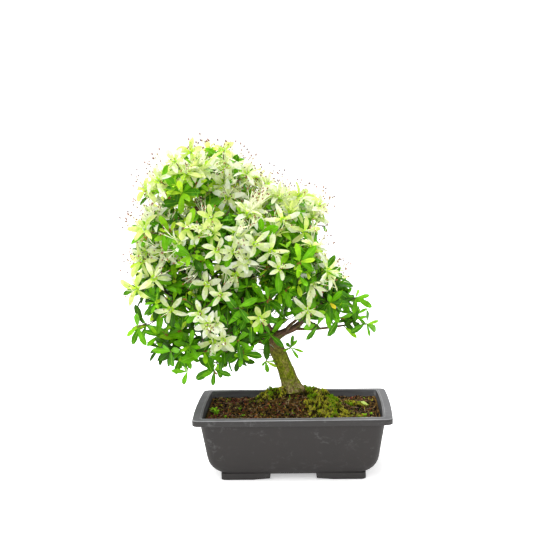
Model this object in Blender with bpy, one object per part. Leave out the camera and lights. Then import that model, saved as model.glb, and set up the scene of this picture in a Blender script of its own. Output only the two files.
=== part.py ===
"""Azalea bonsai in flower, standing in a rectangular plastic training pot.

The pot, its soil and moss, the trunk, every bough and every mass of twigs, leaves and
blossom are separate closed solids. Everything is modelled round the middle of the pot,
X to the right, Y away from the front, and then moved so that the origin lies under the
middle of the whole plant's box. Run it in Blender 4.5: blender --background --python part.py
"""

import math
import random

import bmesh
import bpy
from mathutils import Matrix, Vector
from mathutils.bvhtree import BVHTree
from mathutils.noise import noise

MM = 0.001
GAP = 0.3 * MM                  # left between solids that meet
UP = Vector((0, 0, 1))

# Pot: a shallow box whose sides lean in to a round shoulder, on four corner feet.
RIM_LENGTH = 220 * MM
RIM_DEPTH = 155 * MM
POT_HEIGHT = 74 * MM
LIP_FACE = 8.2 * MM             # height of the rim's outer face
LIP_EDGE = 1.0 * MM             # chamfer along the rim's top edges
WALL = 2.8 * MM
RIM_CORNER = 7 * MM
BODY_CORNER = 10 * MM
BOW_SHORT = 3.0 * MM            # how far the short sides swell in the middle
BOW_LONG = 1.0 * MM
DEPTH_DRAFT = 0.76              # the long sides lean in less than the short ones
SHOULDER_RADIUS = 26.6 * MM
SHOULDER_CENTRE = 68.8 * MM     # from the pot's middle
SHOULDER_HEIGHT = 31.6 * MM
DRAFT = 0.176                   # slope of the straight part of the short sides
DRAFT_START = 26.9 * MM
UNDERSIDE = 6 * MM
FLOOR = 9 * MM
FOOT_HALF_LENGTH = 81 * MM
FOOT_HALF_DEPTH = 55.5 * MM
FOOT_WIDTH = 8 * MM
FOOT_CORNER = 6 * MM
FOOT_FLAT_FROM = 45 * MM        # each foot is flat from here to the pot's end
FOOT_END = 26 * MM              # and tapers up to here
FOOT_END_RISE = 1.6 * MM
CORNER_STEPS = 3
SIDE_STEPS = 2

# Soil: level at the wall, heaped up to the trunk, with a flat seat under the trunk's cut.
SOIL_EDGE = 65 * MM
TRUNK_FOOT = Vector((-0.6, 12, 86)) * MM
SOIL_SEAT_RADIUS = 18 * MM
SOIL_HEAP_REACH = (78 * MM, 62 * MM)
SOIL_LUMP = 1.4 * MM

# Moss cushions: centre, half-lengths and height over the soil, in mm.
MOSS = {
    "moss_left": [((-24, 9), (18, 16), 6)],
    "moss_right": [((30, 12), (24, 18), 6.5), ((38, -20), (24, 24), 7)],
    "moss_patch": [((71, 18), (12, 10), 4)],
}

# Trunk: points up its middle and its radius there, in mm.
TRUNK = [
    ((-0.6, 12, 86), 14.5),
    ((-1.8, 11.9, 91), 12.0),
    ((-4.0, 11.3, 99), 10.2),
    ((-8.5, 10, 113), 9.2),
    ((-15.0, 7.6, 129.5), 8.9),
    ((-22.0, 4.6, 144), 9.3),
    ((-25.8, 3, 151.5), 9.0),
]
TRUNK_SIDES = 12
FLARE_LOBES = 4
FLARE_DEPTH = 0.12
FLARE_HEIGHT = 14 * MM

# Boughs: parent, how far along it they leave, points after that in mm, first and last radius.
BOUGHS = {
    "bough_leader": ("trunk", 1.0, [(-38, 2, 176), (-56, 3, 206), (-70, 6, 238), (-78, 9, 268),
                                    (-80, 12, 296)], 8.0, 2.6),
    "bough_right_low": ("trunk", 0.93, [(-10, 5, 156), (5, 4, 163), (18, 4, 176), (26, 5, 184)],
                        5.2, 2.2),
    "bough_left_low": ("trunk", 0.86, [(-38, 0, 149), (-62, -6, 155), (-88, -12, 168),
                                       (-112, -17, 182)], 4.4, 1.9),
    "bough_left_bottom": ("bough_left_low", 0.42, [(-76, -10, 154), (-92, -13, 150),
                                                   (-104, -14, 148)], 2.2, 1.5),
    "bough_right_back": ("trunk", 0.97, [(-12, 22, 172), (-4, 40, 196), (-2, 50, 212)], 4.2, 1.9),
    "bough_right_mid": ("bough_leader", 0.14, [(-22, -10, 190), (-8, -20, 208), (-2, -26, 220)],
                        4.2, 1.9),
    "bough_front_low": ("bough_leader", 0.08, [(-44, -16, 172), (-54, -30, 182), (-60, -38, 189)],
                        3.6, 1.7),
    "bough_back_left": ("bough_leader", 0.22, [(-72, 22, 198), (-98, 40, 206), (-116, 48, 213)],
                        4.0, 1.8),
    "bough_right_up": ("bough_leader", 0.34, [(-40, 4, 232), (-18, 5, 254), (-8, 5, 266)],
                       4.0, 1.8),
    "bough_left_mid": ("bough_leader", 0.40, [(-88, 2, 224), (-112, -2, 240), (-126, -4, 252)],
                       3.6, 1.7),
    "bough_front_mid": ("bough_leader", 0.50, [(-66, -14, 236), (-70, -30, 248), (-73, -38, 256)],
                        3.2, 1.7),
    "bough_back_mid": ("bough_leader", 0.56, [(-74, 30, 250), (-78, 44, 260), (-79, 50, 266)],
                       3.2, 1.7),
    "bough_left_up": ("bough_leader", 0.70, [(-96, 3, 288), (-108, 0, 304), (-112, -1, 312)],
                      3.0, 1.7),
    "bough_back_low": ("bough_left_low", 0.24, [(-48, 22, 158), (-56, 40, 166), (-60, 48, 171)],
                       2.4, 1.5),
    "bough_centre_low": ("bough_left_low", 0.30, [(-52, -16, 151), (-56, -22, 150)], 2.0, 1.5),
    "bough_right_tip": ("bough_right_low", 0.42, [(24, -3, 161), (42, -6, 163), (56, -7, 165)],
                        1.9, 1.3),
    "bough_right_front": ("bough_right_low", 0.30, [(-3, -10, 166), (6, -19, 175), (9, -24, 181)],
                          2.2, 1.5),
}
LIMB_STEP = 13 * MM
THICK_LIMB = 5.0 * MM           # limbs thicker than this at the foot have eight sides
LIMB_COLLAR = 0.25              # swelling where a limb leaves its parent

# Foliage masses: bough, middle and half-sizes of its space in mm, shoots, share in flower.
MASSES = {
    "foliage_top_left": ("bough_left_up", (-119, -5, 331), (51, 62, 46), 12, 0.75),
    "foliage_apex": ("bough_leader", (-75, 15, 338), (48, 60, 46), 12, 0.75),
    "foliage_shoulder": ("bough_right_up", (-4, 8, 283), (53, 64, 42), 12, 0.6),
    "foliage_left_mid": ("bough_left_mid", (-144, -5, 270), (46, 64, 52), 11, 0.65),
    "foliage_front_mid": ("bough_front_mid", (-75, -54, 270), (56, 44, 48), 12, 0.65),
    "foliage_back_mid": ("bough_back_mid", (-80, 60, 275), (60, 38, 50), 10, 0.5),
    "foliage_right_mid": ("bough_right_mid", (0, -42, 236), (56, 50, 46), 12, 0.5),
    "foliage_right_back": ("bough_right_back", (-4, 58, 234), (54, 40, 50), 10, 0.4),
    "foliage_left_low": ("bough_left_low", (-144, -24, 207), (48, 56, 44), 11, 0.5),
    "foliage_left_back": ("bough_back_left", (-132, 58, 222), (52, 40, 50), 10, 0.4),
    "foliage_front_low": ("bough_front_low", (-66, -54, 200), (58, 44, 44), 12, 0.4),
    "foliage_right_low": ("bough_right_low", (38, 4, 204), (52, 60, 36), 11, 0.2),
    "foliage_right_front": ("bough_right_front", (14, -34, 190), (38, 38, 32), 7, 0.2),
    "foliage_left_bottom": ("bough_left_bottom", (-130, -15, 147), (60, 54, 40), 11, 0.0),
    "foliage_back_low": ("bough_back_low", (-70, 56, 180), (56, 40, 42), 9, 0.1),
    "foliage_centre_low": ("bough_centre_low", (-58, -30, 150), (40, 42, 28), 6, 0.0),
    "foliage_right_tip": ("bough_right_tip", (72, -8, 170), (30, 36, 24), 6, 0.0),
}

# Small shoots off the trunk: scale of the leaves, and points along the stem in mm.
TRUNK_SHOOTS = {
    "shoot_right": (0.6, [(-15.5, 7.5, 131), (-3, 4, 138), (6, 1, 143)]),
    "shoot_left": (0.55, [(-15.5, 7.5, 131), (-27, 6, 129), (-31, 4, 123)]),
    "shoot_spray": (0.85, [(-18.5, 6.5, 137), (-40, -4, 138), (-60, -14, 139), (-74, -20, 135),
                           (-86, -25, 127)]),
}

SHOOT_SPACING = 23 * MM
SHOOT_MARGIN = 12 * MM          # from a shoot's tip to the edge of its mass's space
SHOOT_MARGIN_SHARE = 0.35       # but no more than this share of the space's least half-size
SPACE_MARGIN = 0.6 * MM         # kept inside the planes between neighbouring masses
STEM_RUN = 9 * MM
TWIG_TIP_RADIUS = 0.85 * MM
TWIG_BOW = 0.16                 # how far a twig bows from straight, as a share of its length
PIPE_POWER = 2.4
LIMB_CLEARANCE = 1.0 * MM
TWIG_CLEARANCE = 1.6 * MM

# A whorl is one skin of leaves or petals round a small hub on the twig's end.
LEAF = {"length": 27 * MM, "width": 10.5 * MM, "lean": 60, "droop": 0.10, "spread": 14}
PETAL = {"length": 20 * MM, "width": 9 * MM, "lean": 68, "droop": 0.16, "spread": 6}
LEAVES = 6
PETALS = 5
WIDEST = 0.56                   # share of a blade's length at which it is widest
HUB_RADIUS = 2.8 * MM
HUB_FRONT = 1.6 * MM
HUB_BACK = 3.0 * MM
BLADE_SIZES = (1.0, 0.8, 0.6)   # tried in turn where a blade has no room
BLADE_FREE = 0.3                # share of a blade next to the hub that may meet its twig
SEED = 7340

COLOURS = {
    "pot_plastic": ((0.055, 0.052, 0.052), 0.55),
    "soil": ((0.060, 0.026, 0.012), 0.95),
    "moss": ((0.130, 0.220, 0.020), 0.95),
    "bark": ((0.150, 0.150, 0.045), 0.85),
    "twig_bark": ((0.110, 0.055, 0.030), 0.80),
    "foliage": ((0.080, 0.260, 0.030), 0.45),
}


# ---------------------------------------------------------------- scene and mesh helpers

def clear_scene():
    """Remove every object that a new file starts with."""
    for item in list(bpy.data.objects):
        bpy.data.objects.remove(item)


def make_material(name):
    """A plain Principled material in one of the named colours."""
    colour, roughness = COLOURS[name]
    material = bpy.data.materials.new(name)
    material.use_nodes = True
    shader = material.node_tree.nodes["Principled BSDF"]
    shader.inputs["Base Color"].default_value = (*colour, 1)
    shader.inputs["Roughness"].default_value = roughness
    return material


def make_object(name, points, faces, collection=None, triangles=False):
    """A mesh object from points and faces, turned outwards; triangles keep each face flat."""
    mesh = bpy.data.meshes.new(name)
    mesh.from_pydata([tuple(point) for point in points], [], faces)
    shape = bmesh.new()
    shape.from_mesh(mesh)
    bmesh.ops.recalc_face_normals(shape, faces=shape.faces)
    if triangles:
        bmesh.ops.triangulate(shape, faces=shape.faces)
    shape.to_mesh(mesh)
    shape.free()
    item = bpy.data.objects.new(name, mesh)
    (collection or bpy.context.scene.collection).objects.link(item)
    return item


def loft(rings, ends=True):
    """Points and faces of a skin over rings of equal length; without ends it joins up."""
    count = len(rings[0])
    points = [point for ring in rings for point in ring]
    faces = []
    spans = len(rings) - 1 if ends else len(rings)
    for span in range(spans):
        lower = span * count
        upper = (span + 1) % len(rings) * count
        for k in range(count):
            after = (k + 1) % count
            faces.append((lower + k, lower + after, upper + after, upper + k))
    if ends:
        faces.append(tuple(range(count)))
        faces.append(tuple(range(len(points) - count, len(points))))
    return points, faces


def keep_largest_part(mesh):
    """Drop every loose part but the one with the largest box, sealed hollows included."""
    shape = bmesh.new()
    shape.from_mesh(mesh)
    unseen = set(shape.verts)
    parts = []
    while unseen:
        front = [unseen.pop()]
        part = set(front)
        while front:
            corner = front.pop()
            for edge in corner.link_edges:
                other = edge.other_vert(corner)
                if other not in part:
                    part.add(other)
                    front.append(other)
        unseen -= part
        parts.append(part)
    if len(parts) > 1:
        largest = max(parts, key=lambda part: box_diagonal([corner.co for corner in part]))
        scraps = [corner for corner in shape.verts if corner not in largest]
        bmesh.ops.delete(shape, geom=scraps, context="VERTS")
        shape.to_mesh(mesh)
    shape.free()


def box_corners(points):
    """Lowest and highest corner of the box round some points."""
    low = Vector([min(point[axis] for point in points) for axis in range(3)])
    high = Vector([max(point[axis] for point in points) for axis in range(3)])
    return low, high


def box_diagonal(points):
    low, high = box_corners(points)
    return (high - low).length


def apply_modifiers(item):
    """Replace an object's mesh by what its modifiers make of it."""
    graph = bpy.context.evaluated_depsgraph_get()
    mesh = bpy.data.meshes.new_from_object(item.evaluated_get(graph))
    item.modifiers.clear()
    item.data = mesh


def combine(item, tool, operation, keep_all=False):
    """Apply one Boolean to an object, drop its scraps and remove the tool."""
    modifier = item.modifiers.new(operation.lower(), "BOOLEAN")
    modifier.operation = operation
    modifier.solver = "EXACT"
    modifier.object = tool
    apply_modifiers(item)
    if not keep_all:
        keep_largest_part(item.data)
    bpy.data.objects.remove(tool)


def fuse(item, collection):
    """Unite an object with everything in a collection, then remove the collection."""
    modifier = item.modifiers.new("fuse", "BOOLEAN")
    modifier.operation = "UNION"
    modifier.solver = "EXACT"
    modifier.operand_type = "COLLECTION"
    modifier.collection = collection
    apply_modifiers(item)
    keep_largest_part(item.data)
    for member in list(collection.objects):
        bpy.data.objects.remove(member)
    bpy.data.collections.remove(collection)


def surface_tree(item):
    """Search tree over an object's faces."""
    graph = bpy.context.evaluated_depsgraph_get()
    return BVHTree.FromObject(item, graph)


def millimetres(point):
    return Vector(point) * MM


# ---------------------------------------------------------------- pot, soil and moss

def rounded_rectangle(half_x, half_y, corner, height, bow_x=0.0, bow_y=0.0):
    """A level ring round a rectangle with round corners and sides that swell in the middle."""
    ring = []
    for quarter in range(4):
        sign_x = 1 if quarter in (0, 3) else -1
        sign_y = 1 if quarter in (0, 1) else -1
        for step in range(CORNER_STEPS + 1):
            angle = math.pi / 2 * (quarter + step / CORNER_STEPS)
            ring.append((sign_x * (half_x - corner) + corner * math.cos(angle),
                         sign_y * (half_y - corner) + corner * math.sin(angle)))
        start = ring[-1]
        if quarter in (0, 2):
            end = (-start[0], start[1])
        else:
            end = (start[0], -start[1])
        for step in range(1, SIDE_STEPS + 1):
            share = step / (SIDE_STEPS + 1)
            ring.append((start[0] + share * (end[0] - start[0]),
                         start[1] + share * (end[1] - start[1])))
    points = []
    for x, y in ring:
        swell_x = bow_x * max(0.0, 1 - (y / half_y) ** 2)
        swell_y = bow_y * max(0.0, 1 - (x / half_x) ** 2)
        points.append(Vector((x + math.copysign(swell_x, x), y + math.copysign(swell_y, y),
                              height)))
    return points


def pot_half_length(height):
    """Half the body's length at a height: the round shoulder, then the straight side."""
    start = SHOULDER_CENTRE + math.sqrt(
        SHOULDER_RADIUS ** 2 - (SHOULDER_HEIGHT - DRAFT_START) ** 2)
    if height >= DRAFT_START:
        return start + DRAFT * (height - DRAFT_START)
    return SHOULDER_CENTRE + math.sqrt(SHOULDER_RADIUS ** 2 - (SHOULDER_HEIGHT - height) ** 2)


def pot_ring(half_length, height, inset=0.0, corner=BODY_CORNER):
    """A ring round the pot at a height, moved in by an inset on every side."""
    half_depth = RIM_DEPTH / 2 - (RIM_LENGTH / 2 - half_length) * DEPTH_DRAFT
    return rounded_rectangle(half_length - inset, half_depth - inset, max(corner - inset, MM),
                             height, BOW_SHORT, BOW_LONG)


def inner_levels():
    """Heights at which the pot's inner wall has an edge, from the floor up to the soil."""
    return [FLOOR, 13 * MM, 19 * MM, DRAFT_START, SOIL_EDGE]


def build_pot():
    """The pot's shell with its overhanging rim and four corner feet."""
    half_rim = RIM_LENGTH / 2
    lip_bottom = POT_HEIGHT - LIP_FACE
    rings = [pot_ring(pot_half_length(height), height)
             for height in (UNDERSIDE, 10 * MM, 15 * MM, 20 * MM, DRAFT_START, lip_bottom)]
    overhang = half_rim - pot_half_length(lip_bottom)
    rings.append(pot_ring(half_rim, lip_bottom, 0.4 * MM, RIM_CORNER))
    rings.append(pot_ring(half_rim, POT_HEIGHT - LIP_EDGE, 0.0, RIM_CORNER))
    rings.append(pot_ring(half_rim, POT_HEIGHT, LIP_EDGE, RIM_CORNER))
    rings.append(pot_ring(half_rim, POT_HEIGHT, overhang + WALL - LIP_EDGE, BODY_CORNER + WALL))
    rings.append(pot_ring(half_rim, POT_HEIGHT - 2 * LIP_EDGE, overhang + WALL,
                          BODY_CORNER + WALL))
    for height in reversed(inner_levels()):
        rings.append(pot_ring(pot_half_length(height), height, WALL))
    pot = make_object("pot", *loft(rings))
    combine(pot, build_feet(), "UNION")
    return pot


def build_feet():
    """A frame under the pot, parted by an arch in each side into four corner feet."""
    sizes = [(0, 0.0), (0, UNDERSIDE + 1.5 * MM), (FOOT_WIDTH, UNDERSIDE + 1.5 * MM),
             (FOOT_WIDTH, 0.0)]
    rings = [rounded_rectangle(FOOT_HALF_LENGTH - inset, FOOT_HALF_DEPTH - inset,
                               max(FOOT_CORNER - inset, MM), height)
             for inset, height in sizes]
    feet = make_object("feet", *loft(rings, ends=False))
    for along_x, scale in ((True, 1.0), (False, FOOT_HALF_DEPTH / FOOT_HALF_LENGTH)):
        combine(feet, build_arch(along_x, scale), "DIFFERENCE", keep_all=True)
    return feet


def build_arch(along_x, scale):
    """The cutter that lifts the middle of two facing sides off the ground."""
    reach = RIM_LENGTH
    half = [(FOOT_FLAT_FROM * scale, -2 * MM), (FOOT_FLAT_FROM * scale, 0.0),
            (FOOT_END * scale, FOOT_END_RISE), (FOOT_END * scale - MM, UNDERSIDE + 4 * MM)]
    outline = half + [(-along, height) for along, height in reversed(half)]
    rings = []
    for across in (-reach, reach):
        if along_x:
            rings.append([Vector((along, across, height)) for along, height in outline])
        else:
            rings.append([Vector((across, along, height)) for along, height in outline])
    return make_object("arch", *loft(rings))


def soil_height(x, y):
    """Height of the soil: a low heap with its top at the trunk, and small lumps."""
    off_x = (x - TRUNK_FOOT.x) / SOIL_HEAP_REACH[0]
    off_y = (y - TRUNK_FOOT.y) / SOIL_HEAP_REACH[1]
    distance = min(1.0, math.hypot(off_x, off_y))
    heap = 0.5 + 0.5 * math.cos(math.pi * distance)
    lump = SOIL_LUMP * noise(Vector((x, y, 0)) / (9 * MM)) * min(1.0, 2 * distance)
    return SOIL_EDGE + (TRUNK_FOOT.z - GAP - SOIL_EDGE) * heap ** 0.8 + lump


def build_soil():
    """The soil: fills the pot 0.3 mm clear of its wall and rises to the trunk's foot."""
    rings = []
    for height in inner_levels():
        level = height + GAP if height == FLOOR else height
        rings.append(pot_ring(pot_half_length(height), level, WALL + GAP))
    edge = rings[-1]
    middle = Vector((TRUNK_FOOT.x, TRUNK_FOOT.y, 0))
    for share in (0.87, 0.73, 0.58, 0.43, 0.29):
        ring = []
        for point in edge:
            place = middle + share * (point - middle)
            ring.append(Vector((place.x, place.y, soil_height(place.x, place.y))))
        rings.append(ring)
    seat = []
    for point in edge:
        direction = (point - middle).to_2d().normalized() * SOIL_SEAT_RADIUS
        seat.append(Vector((middle.x + direction.x, middle.y + direction.y,
                            TRUNK_FOOT.z - GAP)))
    rings.append(seat)
    return make_object("soil", *loft(rings), triangles=True)


def moss_cushion(centre, halves, rise, soil_tree):
    """A low dome over the soil that reaches well below its surface."""
    around, levels = 12, 3
    middle = Vector((*centre, 0)) * MM
    rings = []
    for level in range(levels + 1):
        turn = math.pi / 2 * level / (levels + 0.6)
        ring = []
        for k in range(around):
            angle = math.tau * k / around
            ragged = 1 + 0.10 * noise(Vector((centre[0] + 2 * math.cos(angle),
                                              centre[1] + 2 * math.sin(angle), 0)))
            x = middle.x + halves[0] * MM * ragged * math.cos(angle) * math.cos(turn)
            y = middle.y + halves[1] * MM * ragged * math.sin(angle) * math.cos(turn)
            ground = soil_tree.ray_cast(Vector((x, y, 1)), -UP)[0].z
            ring.append(Vector((x, y, ground + rise * MM * math.sin(turn))))
        rings.append(ring)
    foot = [Vector((point.x, point.y, SOIL_EDGE - 8 * MM)) for point in rings[0]]
    return make_object("moss", *loft([foot] + rings), triangles=True)


def build_moss(name, cushions, soil, trunk):
    """One patch of moss, resting on the soil and clear of the trunk."""
    soil_tree = surface_tree(soil)
    patch = moss_cushion(*cushions[0], soil_tree)
    patch.name = name
    for cushion in cushions[1:]:
        combine(patch, moss_cushion(*cushion, soil_tree), "UNION")
    raised = soil.copy()
    raised.data = soil.data.copy()
    raised.data.transform(Matrix.Translation(UP * 1.5 * GAP))
    bpy.context.scene.collection.objects.link(raised)
    combine(patch, raised, "DIFFERENCE")
    combine(patch, trunk.solid("sleeve", 2 * GAP), "DIFFERENCE")
    return patch


# ---------------------------------------------------------------- trunk and boughs

def smooth_path(points, step):
    """Points about one step apart on a Catmull-Rom curve, each with its share of the way."""
    ends = [points[0] * 2 - points[1]] + list(points) + [points[-1] * 2 - points[-2]]
    path = [(points[0], 0.0)]
    total = sum((b - a).length for a, b in zip(points, points[1:]))
    done = 0.0
    for k in range(len(points) - 1):
        p0, p1, p2, p3 = ends[k:k + 4]
        length = (p2 - p1).length
        pieces = max(1, round(length / step))
        for piece in range(1, pieces + 1):
            t = piece / pieces
            place = 0.5 * (2 * p1 + (p2 - p0) * t + (2 * p0 - 5 * p1 + 4 * p2 - p3) * t ** 2
                           + (3 * p1 - p0 - 3 * p2 + p3) * t ** 3)
            path.append((place, (done + t * length) / total))
        done += length
    return path


class Limb:
    """A trunk or bough: the points of its middle line and its radius at each."""

    def __init__(self, name, places, radii, sides, level_foot=False):
        self.name = name
        self.places = places
        self.radii = radii
        self.sides = sides
        self.level_foot = level_foot

    def tangent(self, index):
        before = self.places[max(index - 1, 0)]
        after = self.places[min(index + 1, len(self.places) - 1)]
        return (after - before).normalized()

    def at(self, share):
        """Place and radius a share of the way from foot to tip."""
        position = share * (len(self.places) - 1)
        index = min(int(position), len(self.places) - 2)
        rest = position - index
        place = self.places[index].lerp(self.places[index + 1], rest)
        radius = self.radii[index] * (1 - rest) + self.radii[index + 1] * rest
        return place, radius

    def rings(self, extra=0.0):
        """Rings of points round the limb, made thicker and longer by extra."""
        last = len(self.places) - 1
        normal = Vector((0, 1, 0))
        rings = []
        for index, (place, radius) in enumerate(zip(self.places, self.radii)):
            tangent = self.tangent(index)
            if self.level_foot and index == 0:
                tangent = UP
            normal = (normal - tangent * normal.dot(tangent)).normalized()
            side = tangent.cross(normal)
            if index == 0:
                place = place - tangent * extra
            if index == last:
                place = place + tangent * extra
            ring = []
            for k in range(self.sides):
                angle = math.tau * k / self.sides
                lobe = 1.0
                if self.level_foot:
                    low = max(0.0, 1 - (place.z - TRUNK_FOOT.z) / FLARE_HEIGHT)
                    lobe += FLARE_DEPTH * low * math.cos(FLARE_LOBES * angle + 0.6)
                reach = (radius * lobe + extra) / math.cos(math.pi / self.sides * bool(extra))
                ring.append(place + (normal * math.cos(angle) + side * math.sin(angle)) * reach)
            rings.append(ring)
        return rings

    def solid(self, name, extra=0.0):
        return make_object(name, *loft(self.rings(extra)), triangles=True)

    def surface(self, extra):
        """Search tree over the limb's skin, made thicker by extra."""
        return BVHTree.FromPolygons(*loft(self.rings(extra)))

    def distance(self, point):
        """Distance from a point to the limb's bark; negative inside it."""
        best = math.inf
        for index in range(len(self.places) - 1):
            start, end = self.places[index], self.places[index + 1]
            along = end - start
            share = max(0.0, min(1.0, (point - start).dot(along) / along.length_squared))
            radius = self.radii[index] * (1 - share) + self.radii[index + 1] * share
            best = min(best, (point - start - along * share).length - radius)
        return best


def make_trunk_limb():
    """The leaning trunk, flared at its flat foot."""
    places = [millimetres(point) for point, _ in TRUNK]
    return Limb("trunk", places, [radius * MM for _, radius in TRUNK], TRUNK_SIDES,
                level_foot=True)


def make_bough_limb(name, limbs):
    """A tapering bough whose middle line starts on its parent's middle line."""
    parent_name, share, points, first, last = BOUGHS[name]
    parent = limbs[parent_name]
    start = parent.at(share)[0]
    if share == 1.0:
        start = start + parent.tangent(len(parent.places) - 1) * GAP
    path = smooth_path([start] + [millimetres(point) for point in points], LIMB_STEP)
    radii = []
    for _, done in path:
        collar = LIMB_COLLAR * max(0.0, 1 - done / 0.25) ** 2 if share < 1.0 else 0.0
        radii.append((first + (last - first) * done) * (1 + collar) * MM)
    sides = 8 if first * MM > THICK_LIMB else 6
    return Limb(name, [place for place, _ in path], radii, sides)


def build_boughs(limbs, solids):
    """Every bough, cut 0.3 mm clear of each limb that was made before it."""
    for name in BOUGHS:
        limb = make_bough_limb(name, limbs)
        solid = limb.solid(name)
        for other in limbs.values():
            sleeve = other.solid("sleeve", GAP)
            if surface_tree(sleeve).overlap(surface_tree(solid)):
                combine(solid, sleeve, "DIFFERENCE")
            else:
                bpy.data.objects.remove(sleeve)
        limbs[name] = limb
        solids[name] = solid


# ---------------------------------------------------------------- foliage masses

class Space:
    """The room of one mass: an ellipsoid, trimmed by planes towards its neighbours."""

    def __init__(self, middle, halves):
        self.middle = millimetres(middle)
        self.halves = millimetres(halves)
        self.planes = []

    def reach(self, direction):
        """Distance from the middle to the ellipsoid's surface along a unit direction."""
        return 1 / Vector([direction[axis] / self.halves[axis] for axis in range(3)]).length

    def part_from(self, other):
        """Keep this space on its own side of the plane between two middles."""
        between = other.middle - self.middle
        direction = between.normalized()
        near, far = self.reach(direction), other.reach(-direction)
        if near + far > between.length:
            self.planes.append((direction, between.length * near / (near + far)))

    def fullness(self, point):
        """0 at the middle, 1 at the ellipsoid's surface."""
        offset = point - self.middle
        return Vector([offset[axis] / self.halves[axis] for axis in range(3)]).length

    def contains(self, point, margin=0.0):
        offset = point - self.middle
        shrunk = [offset[axis] / (self.halves[axis] - margin) for axis in range(3)]
        if Vector(shrunk).length > 1:
            return False
        inside = SPACE_MARGIN + margin
        return all(offset.dot(normal) < depth - inside for normal, depth in self.planes)


class Twigs:
    """A tree of twig joints: place, parent, and the shoots that end in leaves."""

    def __init__(self, base, first_run):
        self.places = [base, base + first_run]
        self.parents = [None, 0]
        self.shoots = []

    def add(self, place, parent):
        self.places.append(place)
        self.parents.append(parent)
        return len(self.places) - 1

    def path_length(self, index):
        length = 0.0
        while self.parents[index] is not None:
            length += (self.places[index] - self.places[self.parents[index]]).length
            index = self.parents[index]
        return length

    def direction(self, index):
        return (self.places[index] - self.places[self.parents[index]]).normalized()

    def radii(self, stem_radius):
        """Radius at each joint: the pipe rule, from the shoots down, no thicker than the stem."""
        flow = [0.0] * len(self.places)
        for index in self.shoots:
            step = index
            while step is not None:
                flow[step] += 1
                step = self.parents[step]
        return [min(stem_radius, TWIG_TIP_RADIUS * max(1.0, count) ** (1 / PIPE_POWER))
                for count in flow]

    def chains(self, radii):
        """Runs of joints, each leaving a thicker run at its first joint."""
        children = {}
        for index, parent in enumerate(self.parents):
            if parent is not None:
                children.setdefault(parent, []).append(index)
        runs = []
        starts = [(0, None)]
        while starts:
            index, parent = starts.pop()
            run = [index] if parent is None else [parent, index]
            while children.get(index):
                onward = sorted(children[index], key=lambda child: -radii[child])
                starts += [(child, index) for child in onward[1:]]
                index = onward[0]
                run.append(index)
            runs.append(run)
        return runs


def segment_distance(a, b, c, d):
    """Shortest distance between two segments, by comparing points along both."""
    steps = [0.0, 0.25, 0.5, 0.75, 1.0]
    return min((a.lerp(b, s) - c.lerp(d, t)).length for s in steps for t in steps)


def twig_is_clear(twigs, start_index, place, space, limbs):
    """Whether a straight twig stays in its space, off the limbs and off other twigs."""
    start = twigs.places[start_index]
    for share in (0.3, 0.55, 0.8, 1.0):
        point = start.lerp(place, share)
        if not space.contains(point, TWIG_TIP_RADIUS):
            return False
        if any(limb.distance(point) < LIMB_CLEARANCE + TWIG_TIP_RADIUS for limb in limbs):
            return False
    near_start = start.lerp(place, 0.3)
    for index in range(1, len(twigs.places)):
        parent = twigs.parents[index]
        if start_index in (index, parent):
            continue
        gap = segment_distance(near_start, place, twigs.places[index], twigs.places[parent])
        if gap < TWIG_CLEARANCE + 2 * TWIG_TIP_RADIUS:
            return False
    return True


def pick_shoot_tips(space, count, limbs, rng):
    """Well-spread places for shoot tips, the outer ones first."""
    low = space.middle - space.halves
    margin = min(SHOOT_MARGIN, SHOOT_MARGIN_SHARE * min(space.halves))
    candidates = []
    for _ in range(count * 80):
        point = Vector([low[axis] + 2 * space.halves[axis] * rng.random() for axis in range(3)])
        if space.contains(point, margin):
            candidates.append((space.fullness(point) + 0.35 * rng.random(), point))
    candidates.sort(key=lambda pair: -pair[0])
    tips = []
    for _, point in candidates:
        spread = all((point - tip).length > SHOOT_SPACING for tip in tips)
        if spread and all(limb.distance(point) > 5 * MM for limb in limbs):
            tips.append(point)
        if len(tips) == count:
            break
    return tips


def grow_twigs(base, direction, space, count, limbs, rng):
    """Link each shoot tip to the best joint there is, the nearest tips first."""
    twigs = Twigs(base, direction * STEM_RUN)
    tips = pick_shoot_tips(space, count, limbs, rng)
    for tip in sorted(tips, key=lambda point: (point - base).length):
        options = []
        for index in range(1, len(twigs.places)):
            if index in twigs.shoots:
                continue
            reach = tip - twigs.places[index]
            if reach.length < 6 * MM or reach.normalized().dot(twigs.direction(index)) < -0.1:
                continue
            options.append((reach.length + 0.35 * twigs.path_length(index), index))
        for _, index in sorted(options)[:5]:
            start = twigs.places[index]
            length = (tip - start).length
            bow = Vector([rng.uniform(-1, 1) for _ in range(3)]) - UP * 0.6
            middle = start.lerp(tip, 0.5) + bow * TWIG_BOW * 0.5 * length
            if not twig_is_clear(twigs, index, middle, space, limbs):
                continue
            joint = twigs.add(middle, index)
            if twig_is_clear(twigs, joint, tip, space, limbs):
                twigs.shoots.append(twigs.add(tip, joint))
                break
            twigs.places.pop()
            twigs.parents.pop()
    return twigs


def twig_solid(run, twigs, radii, collection):
    """A three-sided tapering twig through a run of joints."""
    normal = Vector((0.3, 0.9, 0.2))
    rings = []
    for position, index in enumerate(run):
        before = twigs.places[run[max(position - 1, 0)]]
        after = twigs.places[run[min(position + 1, len(run) - 1)]]
        tangent = (after - before).normalized()
        normal = (normal - tangent * normal.dot(tangent)).normalized()
        side = tangent.cross(normal)
        radius = radii[index]
        if position == 0 and twigs.parents[index] is not None:
            radius = radii[run[1]]
        rings.append([twigs.places[index] + (normal * math.cos(math.tau * k / 3)
                                             + side * math.sin(math.tau * k / 3)) * radius
                      for k in range(3)])
    return make_object("twig", *loft(rings), collection)


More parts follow.
